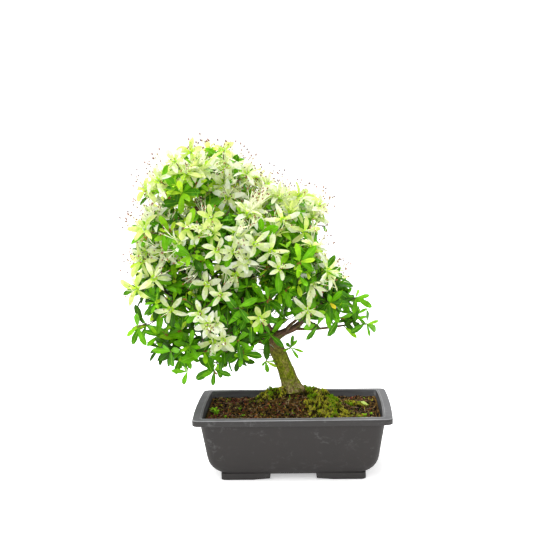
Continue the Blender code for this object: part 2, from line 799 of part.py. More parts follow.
class Whorl:
    """Leaves or petals round a hub: a frame at the shoot's tip, and a slot for each blade."""

    def __init__(self, root, axis, kind, count, scale, rng):
        self.root = root
        self.axis = axis
        self.side = axis.orthogonal().normalized()
        self.kind = kind
        self.scale = scale
        self.turn = rng.uniform(0, math.tau)
        self.slots = []
        for k in range(count):
            angle = self.turn + math.tau * k / count + rng.uniform(-0.12, 0.12)
            lean = math.radians(kind["lean"] + kind["spread"] * rng.uniform(-1, 1))
            self.slots.append((angle, lean, scale * rng.uniform(0.88, 1.08)))
        self.blades = [None] * count

    def around(self, angle):
        return self.side * math.cos(angle) + self.axis.cross(self.side) * math.sin(angle)

    def blade(self, slot, size):
        """Left edge, tip and right edge of the blade in a slot."""
        angle, lean, growth = self.slots[slot]
        outward = self.around(angle)
        across = self.axis.cross(outward)
        direction = self.axis * math.cos(lean) + outward * math.sin(lean)
        length = self.kind["length"] * growth * size
        half_width = self.kind["width"] * growth * size ** 0.5 / 2
        middle = self.root + direction * length * WIDEST
        tip = self.root + direction * length - self.axis * length * self.kind["droop"]
        return middle - across * half_width, tip, middle + across * half_width

    def fill(self, is_clear):
        """Give each slot the largest blade that is clear, or none."""
        for slot in range(len(self.slots)):
            for size in BLADE_SIZES:
                left, tip, right = self.blade(slot, size)
                start = self.root.lerp(tip, BLADE_FREE)
                if is_clear([start, left, tip, right]):
                    self.blades[slot] = (left, tip, right)
                    break

    def shape(self):
        """Points and faces of the skin: blades ridged in front and flat behind."""
        points = [self.root + self.axis * HUB_FRONT * self.scale,
                  self.root - self.axis * HUB_BACK * self.scale]
        count = len(self.slots)
        valleys = []
        for k in range(count):
            middle = self.turn + math.tau * (k - 0.5) / count
            valleys.append(len(points))
            points.append(self.root + self.around(middle) * HUB_RADIUS * self.scale)
        faces = []
        for k in range(count):
            here, after = valleys[k], valleys[(k + 1) % count]
            faces.append((1, here, after))
            if self.blades[k] is None:
                faces.append((0, here, after))
                continue
            left = len(points)
            points.extend(self.blades[k])
            tip, right = left + 1, left + 2
            faces += [(0, here, left), (0, left, tip), (0, tip, right), (0, right, after)]
            faces += [(here, left, tip), (here, tip, after), (after, tip, right)]
        return points, faces


def dress_shoot(twigs, index, in_flower, space, limbs, placed, collection, rng, scale):
    """Put a flower or a whorl of leaves on the tip of one shoot."""
    root = twigs.places[index]
    outward = (root - space.middle).normalized()
    axis = (twigs.direction(index) * 0.6 + outward * 0.8 + UP * 0.25).normalized()
    if in_flower:
        whorl = Whorl(root, axis, PETAL, PETALS, scale, rng)
    else:
        whorl = Whorl(root, axis, LEAF, LEAVES, scale, rng)

    def is_clear(outline):
        if not all(space.contains(point) for point in outline):
            return False
        if any(limb.distance(point) < LIMB_CLEARANCE for limb in limbs for point in outline):
            return False
        surface = BVHTree.FromPolygons(outline, [(0, 1, 2), (0, 2, 3)])
        return not any(surface.overlap(earlier) for earlier in placed)

    whorl.fill(is_clear)
    points, faces = whorl.shape()
    placed.append(BVHTree.FromPolygons(points, faces))
    make_object("whorl", points, faces, collection)


def finish_mass(name, twigs, stem_radius, space, bloom, limbs, obstacles, rng, scale=1.0):
    """Dress the shoots of one mass and fuse its twigs, leaves and flowers into one solid."""
    collection = bpy.data.collections.new(name + "_pieces")
    bpy.context.scene.collection.children.link(collection)
    radii = twigs.radii(stem_radius)
    runs = twigs.chains(radii)
    stem = twig_solid(runs[0], twigs, radii, bpy.context.scene.collection)
    stem.name = name
    placed = obstacles + [surface_tree(stem)]
    for run in runs[1:]:
        placed.append(surface_tree(twig_solid(run, twigs, radii, collection)))
    flowers = round(bloom * len(twigs.shoots))
    order = sorted(twigs.shoots, key=lambda index: -space.fullness(twigs.places[index]))
    for position, index in enumerate(order):
        dress_shoot(twigs, index, position < flowers, space, limbs, placed, collection, rng, scale)
    fuse(stem, collection)
    return stem


def build_trunk_shoots(limbs, solids, obstacles, rng):
    """Small shoots straight off the trunk, each cut 0.3 mm clear of its bark.

    Each also joins the limbs, with a ball for its leaves, so that the masses keep off it.
    """
    everywhere = Space((0, 0, 0), (1000, 1000, 1000))
    boughs = [limb for limb in limbs.values() if limb.name != "trunk"]
    for name, (scale, points) in TRUNK_SHOOTS.items():
        places = [millimetres(point) for point in points]
        twigs = Twigs(places[0], places[1] - places[0])
        for place in places[2:]:
            twigs.add(place, len(twigs.places) - 1)
        twigs.shoots.append(len(twigs.places) - 1)
        solid = finish_mass(name, twigs, TWIG_TIP_RADIUS, everywhere, 0.0, boughs, obstacles,
                            rng, scale)
        combine(solid, limbs["trunk"].solid("sleeve", GAP), "DIFFERENCE")
        solids[name] = solid
        obstacles.append(surface_tree(solid))
        radii = [TWIG_TIP_RADIUS] * len(places) + [LEAF["length"] * scale]
        limbs[name] = Limb(name, places + [places[-1] + UP * GAP], radii, 3)


def build_masses(limbs, solids, obstacles, rng):
    """Every foliage mass, each from its bough's tip and in its own space."""
    spaces = {name: Space(row[1], row[2]) for name, row in MASSES.items()}
    for name, space in spaces.items():
        for other_name, other in spaces.items():
            if other_name != name:
                space.part_from(other)
    everything = list(limbs.values())
    for name, (bough, _, _, count, bloom) in MASSES.items():
        limb = limbs[bough]
        direction = limb.tangent(len(limb.places) - 1)
        base = limb.places[-1] + direction * GAP
        twigs = grow_twigs(base, direction, spaces[name], count, everything, rng)
        solids[name] = finish_mass(name, twigs, limb.radii[-1], spaces[name], bloom, everything,
                                   obstacles, rng)


# ---------------------------------------------------------------- the whole plant

def paint(solids):
    """Give every solid its material."""
    materials = {name: make_material(name) for name in COLOURS}
    for name, item in solids.items():
        if name == "pot":
            kind = "pot_plastic"
        elif name == "soil":
            kind = "soil"
        elif name.startswith("moss"):
            kind = "moss"
        elif name == "trunk":
            kind = "bark"
        elif name.startswith("bough"):
            kind = "twig_bark"
        else:
            kind = "foliage"
        item.data.materials.clear()
        item.data.materials.append(materials[kind])


def stand_over_origin(solids):
    """Move everything so that the middle of the plant's box is over the origin."""
    points = [point.co for item in solids.values() for point in item.data.vertices]
    low, high = box_corners(points)
    shift = Vector((-(low.x + high.x) / 2, -(low.y + high.y) / 2, 0))
    for item in solids.values():
        item.location = shift


def main():
    clear_scene()
    limbs = {"trunk": make_trunk_limb()}
    solids = {"pot": build_pot(), "soil": build_soil(), "trunk": limbs["trunk"].solid("trunk")}
    for name, cushions in MOSS.items():
        solids[name] = build_moss(name, cushions, solids["soil"], limbs["trunk"])
    build_boughs(limbs, solids)
    rng = random.Random(SEED)
    obstacles = [limb.surface(LIMB_CLEARANCE) for limb in limbs.values()]
    build_trunk_shoots(limbs, solids, obstacles, rng)
    build_masses(limbs, solids, obstacles, rng)
    paint(solids)
    stand_over_origin(solids)


main()
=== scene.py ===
"""Looks of an azalea bonsai in flower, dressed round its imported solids.

Sizes are in millimetres and places are measured from the middle of the pot's foot, X to the
right and Y away from the front, unless a comment says otherwise.
"""

import functools
import math
import random

import bmesh
import bpy
import numpy as np
from mathutils import Matrix, Vector
from mathutils.noise import noise


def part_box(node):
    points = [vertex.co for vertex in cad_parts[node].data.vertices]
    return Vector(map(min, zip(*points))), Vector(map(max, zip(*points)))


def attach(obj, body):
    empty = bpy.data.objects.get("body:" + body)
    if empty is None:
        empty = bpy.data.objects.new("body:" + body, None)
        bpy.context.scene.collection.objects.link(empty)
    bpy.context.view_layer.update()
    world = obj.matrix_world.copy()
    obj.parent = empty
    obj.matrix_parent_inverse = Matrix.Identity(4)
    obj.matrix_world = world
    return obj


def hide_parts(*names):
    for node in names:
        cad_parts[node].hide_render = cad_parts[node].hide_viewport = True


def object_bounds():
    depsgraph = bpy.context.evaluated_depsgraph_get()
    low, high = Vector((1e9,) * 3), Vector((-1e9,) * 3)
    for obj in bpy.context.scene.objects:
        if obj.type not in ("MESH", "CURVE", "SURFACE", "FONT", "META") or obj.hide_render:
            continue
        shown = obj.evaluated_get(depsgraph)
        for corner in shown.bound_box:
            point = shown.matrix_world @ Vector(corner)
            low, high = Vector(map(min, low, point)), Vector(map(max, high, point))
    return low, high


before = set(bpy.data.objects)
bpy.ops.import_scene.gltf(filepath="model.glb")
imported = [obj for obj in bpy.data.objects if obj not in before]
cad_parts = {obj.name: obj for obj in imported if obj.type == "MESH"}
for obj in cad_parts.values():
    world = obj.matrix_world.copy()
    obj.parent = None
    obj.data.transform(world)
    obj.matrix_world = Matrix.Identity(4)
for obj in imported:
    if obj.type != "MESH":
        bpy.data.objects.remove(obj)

bl_info = {
    "name": "Azalea bonsai",
    "version": (1, 0, 0),
    "blender": (4, 5, 0),
    "location": "View3D > Sidebar > Azalea",
    "description": "Dresses the solids of an azalea bonsai with bark, leaves, blossom, soil and moss",
    "category": "Add Mesh",
}

CAD_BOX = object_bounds()
MM = 0.001
UP = Vector((0, 0, 1))
BODY = "root"

# The pot's own box places everything.
POT_LOW, POT_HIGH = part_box("pot")
POT_MIDDLE = Vector(((POT_LOW.x + POT_HIGH.x) / 2, (POT_LOW.y + POT_HIGH.y) / 2, 0))

# Camera: place, and how far it turns left, looks down and leans, in degrees.
CAMERA_PLACE = (26.2, -1344.4, 391.4)
CAMERA_TURN = 2.29
CAMERA_DIP = 6.69
CAMERA_LEAN = -1.15
LENS = 80.19
SENSOR = 36.0
IMAGE_SIDE = 533                # pixels

# Pot, as in the part's source.
RIM_HALF_LENGTH = 110.0
RIM_HALF_DEPTH = 77.5
POT_HEIGHT = 74.0
LIP_FACE = 7.6
WALL = 2.8
RIM_CORNER = 7.0
BODY_CORNER = 10.0
BOW_SHORT = 2.0
BOW_LONG = 1.0
DEPTH_DRAFT = 0.76
SHOULDER_RADIUS = 26.6
SHOULDER_CENTRE = 68.8
SHOULDER_HEIGHT = 31.6
DRAFT = 0.176
DRAFT_START = 26.9
UNDERSIDE = 6.0
FOOT_HALF_LENGTH = 81.0
FOOT_HALF_DEPTH = 55.5
FOOT_WIDTH = 8.0
FOOT_CORNER = 6.0
FOOT_FLAT_FROM = 45.0
FOOT_END = 26.0
FOOT_END_RISE = 1.6
CORNER_STEPS = 6
SIDE_STEPS = 10                 # even, so that no corner lies on the X axis
RIM_BEAD = 2.2                  # width of the raised bead along the rim's inner edge
RIM_BEAD_RISE = 0.4

# Soil, as in the part's source.
SOIL_EDGE = 65.0
TRUNK_FOOT = (-0.6, 12.0, 86.0)
HEAP_REACH = (78.0, 62.0)
SOIL_LUMP = 1.4
SOIL_DEEP = 12.0                # how far the soil's piece goes down

# Moss cushions: centre, half-lengths and height over the soil.
MOSS = {
    "moss_left": [((-24, 9), (18, 16), 6), ((-13, 5), (11, 8), 6.5)],
    "moss_right": [((30, 12), (24, 18), 6.5), ((38, -20), (24, 24), 7), ((16, 6), (12, 8), 6.5)],
    "moss_patch": [((71, 18), (12, 10), 4)],
}

# Trunk: points up its middle and its radius there.
TRUNK = [
    ((-0.6, 12, 86), 14.5),
    ((-1.8, 11.9, 91), 12.0),
    ((-4.0, 11.3, 99), 10.2),
    ((-8.5, 10, 113), 9.2),
    ((-15.0, 7.6, 129.5), 8.9),
    ((-22.0, 4.6, 144), 9.3),
    ((-25.8, 3, 151.5), 9.0),
]
FLARE_LOBES = 4
FLARE_DEPTH = 0.12
FLARE_HEIGHT = 14.0

# Boughs: parent, how far along it they leave, points after that, first and last radius.
BOUGHS = {
    "bough_leader": ("trunk", 1.0, [(-38, 2, 176), (-56, 3, 206), (-70, 6, 238), (-78, 9, 268),
                                    (-80, 12, 296)], 8.0, 2.6),
    "bough_right_low": ("trunk", 0.93, [(-10, 5, 156), (5, 4, 163), (18, 4, 176), (26, 5, 184)],
                        5.2, 2.2),
    "bough_left_low": ("trunk", 0.86, [(-38, 0, 149), (-62, -6, 155), (-88, -12, 168),
                                       (-112, -17, 182)], 4.4, 1.9),
    "bough_left_bottom": ("bough_left_low", 0.42, [(-76, -10, 154), (-92, -13, 150),
                                                   (-104, -14, 148)], 2.2, 1.5),
    "bough_right_back": ("trunk", 0.97, [(-12, 22, 172), (-4, 40, 196), (-2, 50, 212)], 4.2, 1.9),
    "bough_right_mid": ("bough_leader", 0.14, [(-22, -10, 190), (-8, -20, 208), (-2, -26, 220)],
                        4.2, 1.9),
    "bough_front_low": ("bough_leader", 0.08, [(-44, -16, 172), (-54, -30, 182), (-60, -38, 189)],
                        3.6, 1.7),
    "bough_back_left": ("bough_leader", 0.22, [(-72, 22, 198), (-98, 40, 206), (-116, 48, 213)],
                        4.0, 1.8),
    "bough_right_up": ("bough_leader", 0.34, [(-40, 4, 232), (-18, 5, 254), (-8, 5, 266)],
                       4.0, 1.8),
    "bough_left_mid": ("bough_leader", 0.40, [(-88, 2, 224), (-112, -2, 240), (-126, -4, 252)],
                       3.6, 1.7),
    "bough_front_mid": ("bough_leader", 0.50, [(-66, -14, 236), (-70, -30, 248), (-73, -38, 256)],
                        3.2, 1.7),
    "bough_back_mid": ("bough_leader", 0.56, [(-74, 30, 250), (-78, 44, 260), (-79, 50, 266)],
                       3.2, 1.7),
    "bough_left_up": ("bough_leader", 0.70, [(-96, 3, 288), (-108, 0, 304), (-112, -1, 312)],
                      3.0, 1.7),
    "bough_back_low": ("bough_left_low", 0.24, [(-48, 22, 158), (-56, 40, 166), (-60, 48, 171)],
                       2.4, 1.5),
    "bough_centre_low": ("bough_left_low", 0.30, [(-52, -16, 151), (-56, -22, 150)], 2.0, 1.5),
    "bough_right_tip": ("bough_right_low", 0.42, [(24, -3, 161), (42, -6, 163), (56, -7, 165)],
                        1.9, 1.3),
    "bough_right_front": ("bough_right_low", 0.30, [(-3, -10, 166), (6, -19, 175), (9, -24, 181)],
                          2.2, 1.5),
}
LIMB_COLLAR = 0.25              # swelling where a limb leaves its parent

# Foliage masses: bough, middle and half-sizes of its space, shoots in the source, and how
# densely its shoots stand.
MASSES = {
    "foliage_top_left": ("bough_left_up", (-119, -5, 331), (51, 62, 46), 12, 1),
    "foliage_apex": ("bough_leader", (-75, 15, 338), (48, 60, 46), 12, 1),
    "foliage_shoulder": ("bough_right_up", (-4, 8, 283), (53, 64, 42), 12, 0.9),
    "foliage_left_mid": ("bough_left_mid", (-144, -5, 270), (46, 64, 52), 11, 1),
    "foliage_front_mid": ("bough_front_mid", (-75, -54, 270), (56, 44, 48), 12, 1),
    "foliage_back_mid": ("bough_back_mid", (-80, 60, 275), (60, 38, 50), 10, 0.9),
    "foliage_right_mid": ("bough_right_mid", (0, -42, 236), (56, 50, 46), 12, 0.95),
    "foliage_right_back": ("bough_right_back", (-4, 58, 234), (54, 40, 50), 10, 0.9),
    "foliage_left_low": ("bough_left_low", (-144, -24, 207), (48, 56, 44), 11, 0.7),
    "foliage_left_back": ("bough_back_left", (-132, 58, 222), (52, 40, 50), 10, 0.8),
    "foliage_front_low": ("bough_front_low", (-66, -54, 200), (58, 44, 44), 12, 0.85),
    "foliage_right_low": ("bough_right_low", (38, 4, 204), (52, 60, 36), 11, 0.72),
    "foliage_right_front": ("bough_right_front", (14, -34, 190), (38, 38, 32), 7, 0.85),
    "foliage_left_bottom": ("bough_left_bottom", (-130, -15, 147), (60, 54, 40), 11, 0.35),
    "foliage_back_low": ("bough_back_low", (-70, 56, 180), (56, 40, 42), 9, 0.8),
    "foliage_centre_low": ("bough_centre_low", (-58, -30, 150), (40, 42, 28), 6, 0.65),
    "foliage_right_tip": ("bough_right_tip", (72, -8, 170), (30, 36, 24), 6, 0.75),
}

# Small shoots off the trunk: scale of the leaves, and points along the stem.
TRUNK_SHOOTS = {
    "shoot_right": (0.74, [(-15.5, 7.5, 131), (-8, 5, 135), (-1.5, 2, 138.8)]),
    "shoot_left": (0.74, [(-15.5, 7.5, 131), (-27, 6, 129), (-31, 4, 123)]),
    "shoot_spray": (0.95, [(-18.5, 6.5, 137), (-40, -4, 138), (-60, -14, 139), (-74, -20, 135),
                           (-86, -25, 127)]),
}
SEED = 7340


# ---------------------------------------------------------------- places and meshes

def spot(x, y, z=0.0):
    """A place in mm from the middle of the pot's foot, in metres in the row frame."""
    return POT_MIDDLE + Vector((x, y, z)) * MM


def flat_noise(x, y, size):
    """Smooth noise from -1 to 1 over the ground, with features about size mm wide."""
    return noise(Vector((x, y, 0)) / size)


def deselect_all():
    bpy.ops.object.select_all(action="DESELECT")


def choose(piece):
    """Make one object the only selected and active one."""
    deselect_all()
    piece.select_set(True)
    bpy.context.view_layer.objects.active = piece


def apply_modifier(piece, kind, **settings):
    """Add a modifier with these settings and apply it."""
    choose(piece)
    modifier = piece.modifiers.new(kind.lower(), kind)
    for setting, value in settings.items():
        setattr(modifier, setting, value)
    bpy.ops.object.modifier_apply(modifier=modifier.name)


def smooth_shade(piece, angle=40):
    choose(piece)
    bpy.ops.object.shade_smooth_by_angle(angle=math.radians(angle))


def settle(piece, slot, *nodes):
    """Put a finished piece's place in its mesh, let it ride and hide the solids it stands for."""
    choose(piece)
    bpy.ops.object.transform_apply(location=True, rotation=True, scale=True)
    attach(piece, BODY)
    if nodes:
        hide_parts(*nodes)
    return piece


class Batch:
    """Many small shapes that become one mesh of triangles; each triangle has a finish."""

    def __init__(self):
        self.points = []
        self.faces = []
        self.finishes = []
        self.count = 0

    def add(self, points, faces, finishes):
        """Points in metres, triangles by index, and one finish each or one for them all."""
        self.points.append(np.asarray(points, float))
        self.faces.append(np.asarray(faces, int) + self.count)
        self.finishes.append(np.broadcast_to(finishes, len(faces)))
        self.count += len(points)

    def build(self, name, materials):
        """One object with these materials; the finishes are their numbers."""
        mesh = bpy.data.meshes.new(name)
        points = np.concatenate(self.points)
        faces = np.concatenate(self.faces)
        mesh.vertices.add(len(points))
        mesh.vertices.foreach_set("co", points.ravel())
        mesh.loops.add(faces.size)
        mesh.loops.foreach_set("vertex_index", faces.ravel())
        mesh.polygons.add(len(faces))
        mesh.polygons.foreach_set("loop_start", np.arange(0, faces.size, 3))
        for material in materials:
            mesh.materials.append(material)
        mesh.polygons.foreach_set("material_index", np.concatenate(self.finishes).astype(np.int32))
        mesh.update(calc_edges=True)
        mesh.validate()
        mesh.shade_smooth()
        piece = bpy.data.objects.new(name, mesh)
        bpy.context.scene.collection.objects.link(piece)
        return piece


def ring_faces(rings, around, close_start=False, close_end=False):
    """Triangles of a tube skin over rings of points; a closed end has one more point."""
    faces = []
    for ring in range(rings - 1):
        for k in range(around):
            a = ring * around + k
            b = ring * around + (k + 1) % around
            faces += [(a, b, b + around), (a, b + around, a + around)]
    tip = rings * around
    last = (rings - 1) * around
    if close_end:
        faces += [(last + k, last + (k + 1) % around, tip) for k in range(around)]
        tip += 1
    if close_start:
        faces += [((k + 1) % around, k, tip) for k in range(around)]
    return faces


def tube(places, radii, around, closed=True):
    """Points and triangles of a tube round a line of places, closed at both ends."""
    normal = Vector((0.3, 0.9, 0.2))
    points = []
    last = len(places) - 1
    for index, (place, radius) in enumerate(zip(places, radii)):
        tangent = (places[min(index + 1, last)] - places[max(index - 1, 0)]).normalized()
        normal = (normal - tangent * normal.dot(tangent)).normalized()
        side = tangent.cross(normal)
        for k in range(around):
            angle = math.tau * k / around
            points.append(place + (normal * math.cos(angle) + side * math.sin(angle)) * radius)
    if closed:
        points += [places[last], places[0]]
    return points, ring_faces(len(places), around, closed, closed)


# ---------------------------------------------------------------- finishes

class Finish:
    """A material's node tree, with short ways to add what the finishes here are made of."""

    def __init__(self, name, colour, roughness, specular=0.5):
        self.material = bpy.data.materials.new(name)
        self.material.use_nodes = True
        self.tree = self.material.node_tree
        self.shader = self.tree.nodes["Principled BSDF"]
        self.shader.inputs["Base Color"].default_value = (*colour[:3], 1)
        self.shader.inputs["Roughness"].default_value = roughness
        self.shader.inputs["Specular IOR Level"].default_value = specular

    def node(self, kind, **settings):
        made = self.tree.nodes.new(kind)
        for setting, value in settings.items():
            setattr(made, setting, value)
        return made

    def link(self, output, target):
        self.tree.links.new(output, target)

    def place(self, stretch=(1, 1, 1), attribute=None):
        """Object coordinates, or an attribute of the mesh, stretched."""
        if attribute:
            source = self.node("ShaderNodeAttribute", attribute_name=attribute).outputs["Vector"]
        else:
            source = self.node("ShaderNodeTexCoord").outputs["Object"]
        mapping = self.node("ShaderNodeMapping")
        mapping.inputs["Scale"].default_value = stretch
        self.link(source, mapping.inputs["Vector"])
        return mapping.outputs["Vector"]

    def cloud(self, size, detail=3, stretch=(1, 1, 1), attribute=None, rough=0.55):
        """Noise from 0 to 1 with features about size mm wide."""
        cloud = self.node("ShaderNodeTexNoise")
        cloud.inputs["Scale"].default_value = 1 / (size * MM)
        cloud.inputs["Detail"].default_value = detail
        cloud.inputs["Roughness"].default_value = rough
        self.link(self.place(stretch, attribute), cloud.inputs["Vector"])
        return cloud.outputs["Fac"]

    def ramp(self, factor, *stops):
        """Colours blended along a factor; each stop is a position and a colour."""
        ramp = self.node("ShaderNodeValToRGB")
        elements = ramp.color_ramp.elements
        while len(elements) < len(stops):
            elements.new(0.5)
        for element, (position, colour) in zip(elements, stops):
            element.position = position
            element.color = (*colour[:3], 1)
        self.link(factor, ramp.inputs["Fac"])
        return ramp.outputs["Color"]

    def level(self, factor, low, high, first=0.0, last=1.0):
        """A number that goes from first to last as the factor goes from low to high."""
        span = self.node("ShaderNodeMapRange")
        span.inputs["From Min"].default_value = low
        span.inputs["From Max"].default_value = high
        span.inputs["To Min"].default_value = first
        span.inputs["To Max"].default_value = last
        self.link(factor, span.inputs["Value"])
        return span.outputs["Result"]

    def blend(self, factor, first, second):
        """One colour over another by a factor; either may be a plain colour."""
        mix = self.node("ShaderNodeMix", data_type="RGBA")
        self.link(factor, mix.inputs["Factor"])
        for name, colour in (("A", first), ("B", second)):
            socket = next(s for s in mix.inputs if s.name == name and s.type == "RGBA")
            if isinstance(colour, bpy.types.NodeSocket):
                self.link(colour, socket)
            else:
                socket.default_value = (*colour[:3], 1)
        return next(s for s in mix.outputs if s.type == "RGBA")

    def product(self, first, second):
        times = self.node("ShaderNodeMath", operation="MULTIPLY")
        self.link(first, times.inputs[0])
        self.link(second, times.inputs[1])
        return times.outputs["Value"]

    def height(self):
        """Object height over the ground, in metres."""
        split = self.node("ShaderNodeSeparateXYZ")
        self.link(self.place(), split.inputs["Vector"])
        return split.outputs["Z"]

    def colour(self, output):
        self.link(output, self.shader.inputs["Base Color"])

    def roughness(self, output):
        self.link(output, self.shader.inputs["Roughness"])

    def bump(self, *layers):
        """Relief from layers of (height, depth in mm), one over the other."""
        before = None
        for height, depth in layers:
            bump = self.node("ShaderNodeBump")
            bump.inputs["Strength"].default_value = 1.0
            bump.inputs["Distance"].default_value = depth * MM
            self.link(height, bump.inputs["Height"])
            if before:
                self.link(before, bump.inputs["Normal"])
            before = bump.outputs["Normal"]
        self.link(before, self.shader.inputs["Normal"])

    def glow_through(self, colour, share):
        """Let a share of the light through, as thin leaves and petals do."""
        through = self.node("ShaderNodeBsdfTranslucent")
        through.inputs["Color"].default_value = (*colour[:3], 1)
        mix = self.node("ShaderNodeMixShader")
        mix.inputs["Fac"].default_value = share
        output = self.tree.nodes["Material Output"]
        self.link(self.shader.outputs["BSDF"], mix.inputs[1])
        self.link(through.outputs["BSDF"], mix.inputs[2])
        self.link(mix.outputs["Shader"], output.inputs["Surface"])


def shade(colour, factor):
    """A colour made darker or lighter."""
    return tuple(min(1.0, channel * factor) for channel in colour[:3])


# ---------------------------------------------------------------- stage: camera, light, floor

def camera_axes():
    """The camera's right, up and forward directions."""
    yaw, dip, lean = (math.radians(a) for a in (CAMERA_TURN, CAMERA_DIP, CAMERA_LEAN))
    forward = Vector((-math.sin(yaw) * math.cos(dip), math.cos(yaw) * math.cos(dip),
                      -math.sin(dip)))
    level = Vector((math.cos(yaw), math.sin(yaw), 0))
    upright = level.cross(forward)
    right = level * math.cos(lean) + upright * math.sin(lean)
    up = upright * math.cos(lean) - level * math.sin(lean)
    return right, up, forward


def image_place(point):
    """Pixel column and row of a point in the camera's image, and its distance ahead."""
    right, up, forward = camera_axes()
    offset = point - spot(*CAMERA_PLACE)
    ahead = offset.dot(forward)
    focal = LENS / SENSOR * IMAGE_SIDE
    return (IMAGE_SIDE / 2 + focal * offset.dot(right) / ahead,
            IMAGE_SIDE / 2 - focal * offset.dot(up) / ahead, ahead)


def image_ray(column, row):
    """Direction from the camera through a pixel of its image."""
    right, up, forward = camera_axes()
    focal = LENS / SENSOR * IMAGE_SIDE
    across = (column - IMAGE_SIDE / 2) / focal
    down = (row - IMAGE_SIDE / 2) / focal
    return (forward + right * across - up * down).normalized()


def make_camera():
    right, up, forward = camera_axes()
    data = bpy.data.cameras.new("camera")
    data.lens = LENS
    data.sensor_width = SENSOR
    camera = bpy.data.objects.new("camera", data)
    turn = Matrix((right, up, -forward)).transposed().to_4x4()
    camera.matrix_world = Matrix.Translation(spot(*CAMERA_PLACE)) @ turn
    bpy.context.scene.collection.objects.link(camera)
    bpy.context.scene.camera = camera


def make_floor(settings):
    """A wide pale floor, a little wavy in tone."""
    deselect_all()
    bpy.ops.mesh.primitive_circle_add(vertices=64, radius=settings.floor_radius,
                                      fill_type="NGON", location=(0, 0, 0))
    floor = bpy.context.object
    floor.name = "floor"
    finish = Finish("studio_floor", settings.floor_colour, 0.9, 0.1)
    low = shade(settings.floor_colour, 0.985)
    finish.colour(finish.ramp(finish.cloud(400), (0.3, low), (0.7, settings.floor_colour)))
    finish.shader.inputs["Emission Color"].default_value = (1, 1, 1, 1)
    finish.shader.inputs["Emission Strength"].default_value = settings.floor_glow
    floor.data.materials.append(finish.material)


SOFTBOX_SIDE = 1.3              # metres
LIGHT_AIM = (-40, 0, 200)


def add_softbox(name, place, power):
    """A large square light that looks at the middle of the crown."""
    data = bpy.data.lights.new(name, "AREA")
    data.shape = "SQUARE"
    data.size = SOFTBOX_SIDE
    data.energy = power
    lamp = bpy.data.objects.new(name, data)
    lamp.location = place
    aim = spot(*LIGHT_AIM) - Vector(place)
    lamp.rotation_euler = aim.to_track_quat("-Z", "Y").to_euler()
    bpy.context.scene.collection.objects.link(lamp)


def make_light(settings):
    """White surroundings, a softbox overhead behind the plant and a fill in front."""
    world = bpy.data.worlds.new("studio")
    world.use_nodes = True
    background = world.node_tree.nodes["Background"]
    background.inputs["Color"].default_value = (1, 1, 1, 1)
    background.inputs["Strength"].default_value = settings.surround
    bpy.context.scene.world = world
    add_softbox("softbox_top", (-0.25, 0.1, 1.8), settings.top_power)
    add_softbox("softbox_front", (-0.35, -1.9, 1.0), settings.front_power)
    bpy.context.scene.view_settings.view_transform = "Standard"


# ---------------------------------------------------------------- pot

def rounded_ring(half_x, half_y, corner, height, bow_x=BOW_SHORT, bow_y=BOW_LONG):
    """A level ring round the pot with round corners and sides that swell in the middle."""
    ring = []
    for quarter in range(4):
        sign_x = 1 if quarter in (0, 3) else -1
        sign_y = 1 if quarter in (0, 1) else -1
        for step in range(CORNER_STEPS + 1):
            angle = math.pi / 2 * (quarter + step / CORNER_STEPS)
            ring.append((sign_x * (half_x - corner) + corner * math.cos(angle),
                         sign_y * (half_y - corner) + corner * math.sin(angle)))
        start = ring[-1]
        end = (-start[0], start[1]) if quarter in (0, 2) else (start[0], -start[1])
        for step in range(1, SIDE_STEPS + 1):
            share = step / (SIDE_STEPS + 1)
            ring.append((start[0] + share * (end[0] - start[0]),
                         start[1] + share * (end[1] - start[1])))
    points = []
    for x, y in ring:
        swell_x = bow_x * max(0.0, 1 - (y / half_y) ** 2)
        swell_y = bow_y * max(0.0, 1 - (x / half_x) ** 2)
        points.append(spot(x + math.copysign(swell_x, x), y + math.copysign(swell_y, y), height))
    return points


def pot_half_length(height):
    """Half the body's length at a height: the round shoulder, then the straight side."""
    from_centre = SHOULDER_HEIGHT - min(height, DRAFT_START)
    arc = SHOULDER_CENTRE + math.sqrt(SHOULDER_RADIUS ** 2 - from_centre ** 2)
    return arc + DRAFT * max(0.0, height - DRAFT_START)


def pot_ring(half_length, height, inset=0.0, corner=BODY_CORNER, depth_share=1.0):
    """A ring round the pot at a height, moved in by an inset, by a share of it in depth."""
    half_depth = RIM_HALF_DEPTH - (RIM_HALF_LENGTH - half_length) * DEPTH_DRAFT
    return rounded_ring(half_length - inset, half_depth - inset * depth_share,
                        max(corner - inset, 1.0), height)


def turn_from_left(point):
    """Angle round the pot's middle, counted from the -X axis."""
    return math.atan2(point.y - POT_MIDDLE.y, point.x - POT_MIDDLE.x) % math.tau


def place_selected(piece, ring):
    """In edit mode, move the selected corners onto a ring, in order round the pot."""
    shape = bmesh.from_edit_mesh(piece.data)
    corners = sorted((v for v in shape.verts if v.select), key=lambda v: turn_from_left(v.co))
    for corner, point in zip(corners, sorted(ring, key=turn_from_left)):
        corner.co = point
    bmesh.update_edit_mesh(piece.data)


def extrude_rings(name, rings, fill="NGON"):
    """A shell drawn from a circle of corners, extruded ring by ring; left in edit mode."""
    deselect_all()
    bpy.ops.mesh.primitive_circle_add(vertices=len(rings[0]), radius=0.1, fill_type=fill,
                                      location=(0, 0, 0))
    piece = bpy.context.object
    piece.name = name
    for corner, point in zip(piece.data.vertices, rings[0]):
        corner.co = point
    bpy.ops.object.mode_set(mode="EDIT")
    bpy.ops.mesh.select_all(action="SELECT")
    for ring in rings[1:]:
        bpy.ops.mesh.extrude_region_move()
        place_selected(piece, ring)
    return piece


SHOULDER_RINGS = (UNDERSIDE, 7.2, 9, 11.5, 14.5, 18, 22, DRAFT_START)
SIDE_RINGS = (36, 50)
INNER_RINGS = (60, 55)
UNDERSIDE_EDGE = 0.6            # rounding between the underside and the shoulder


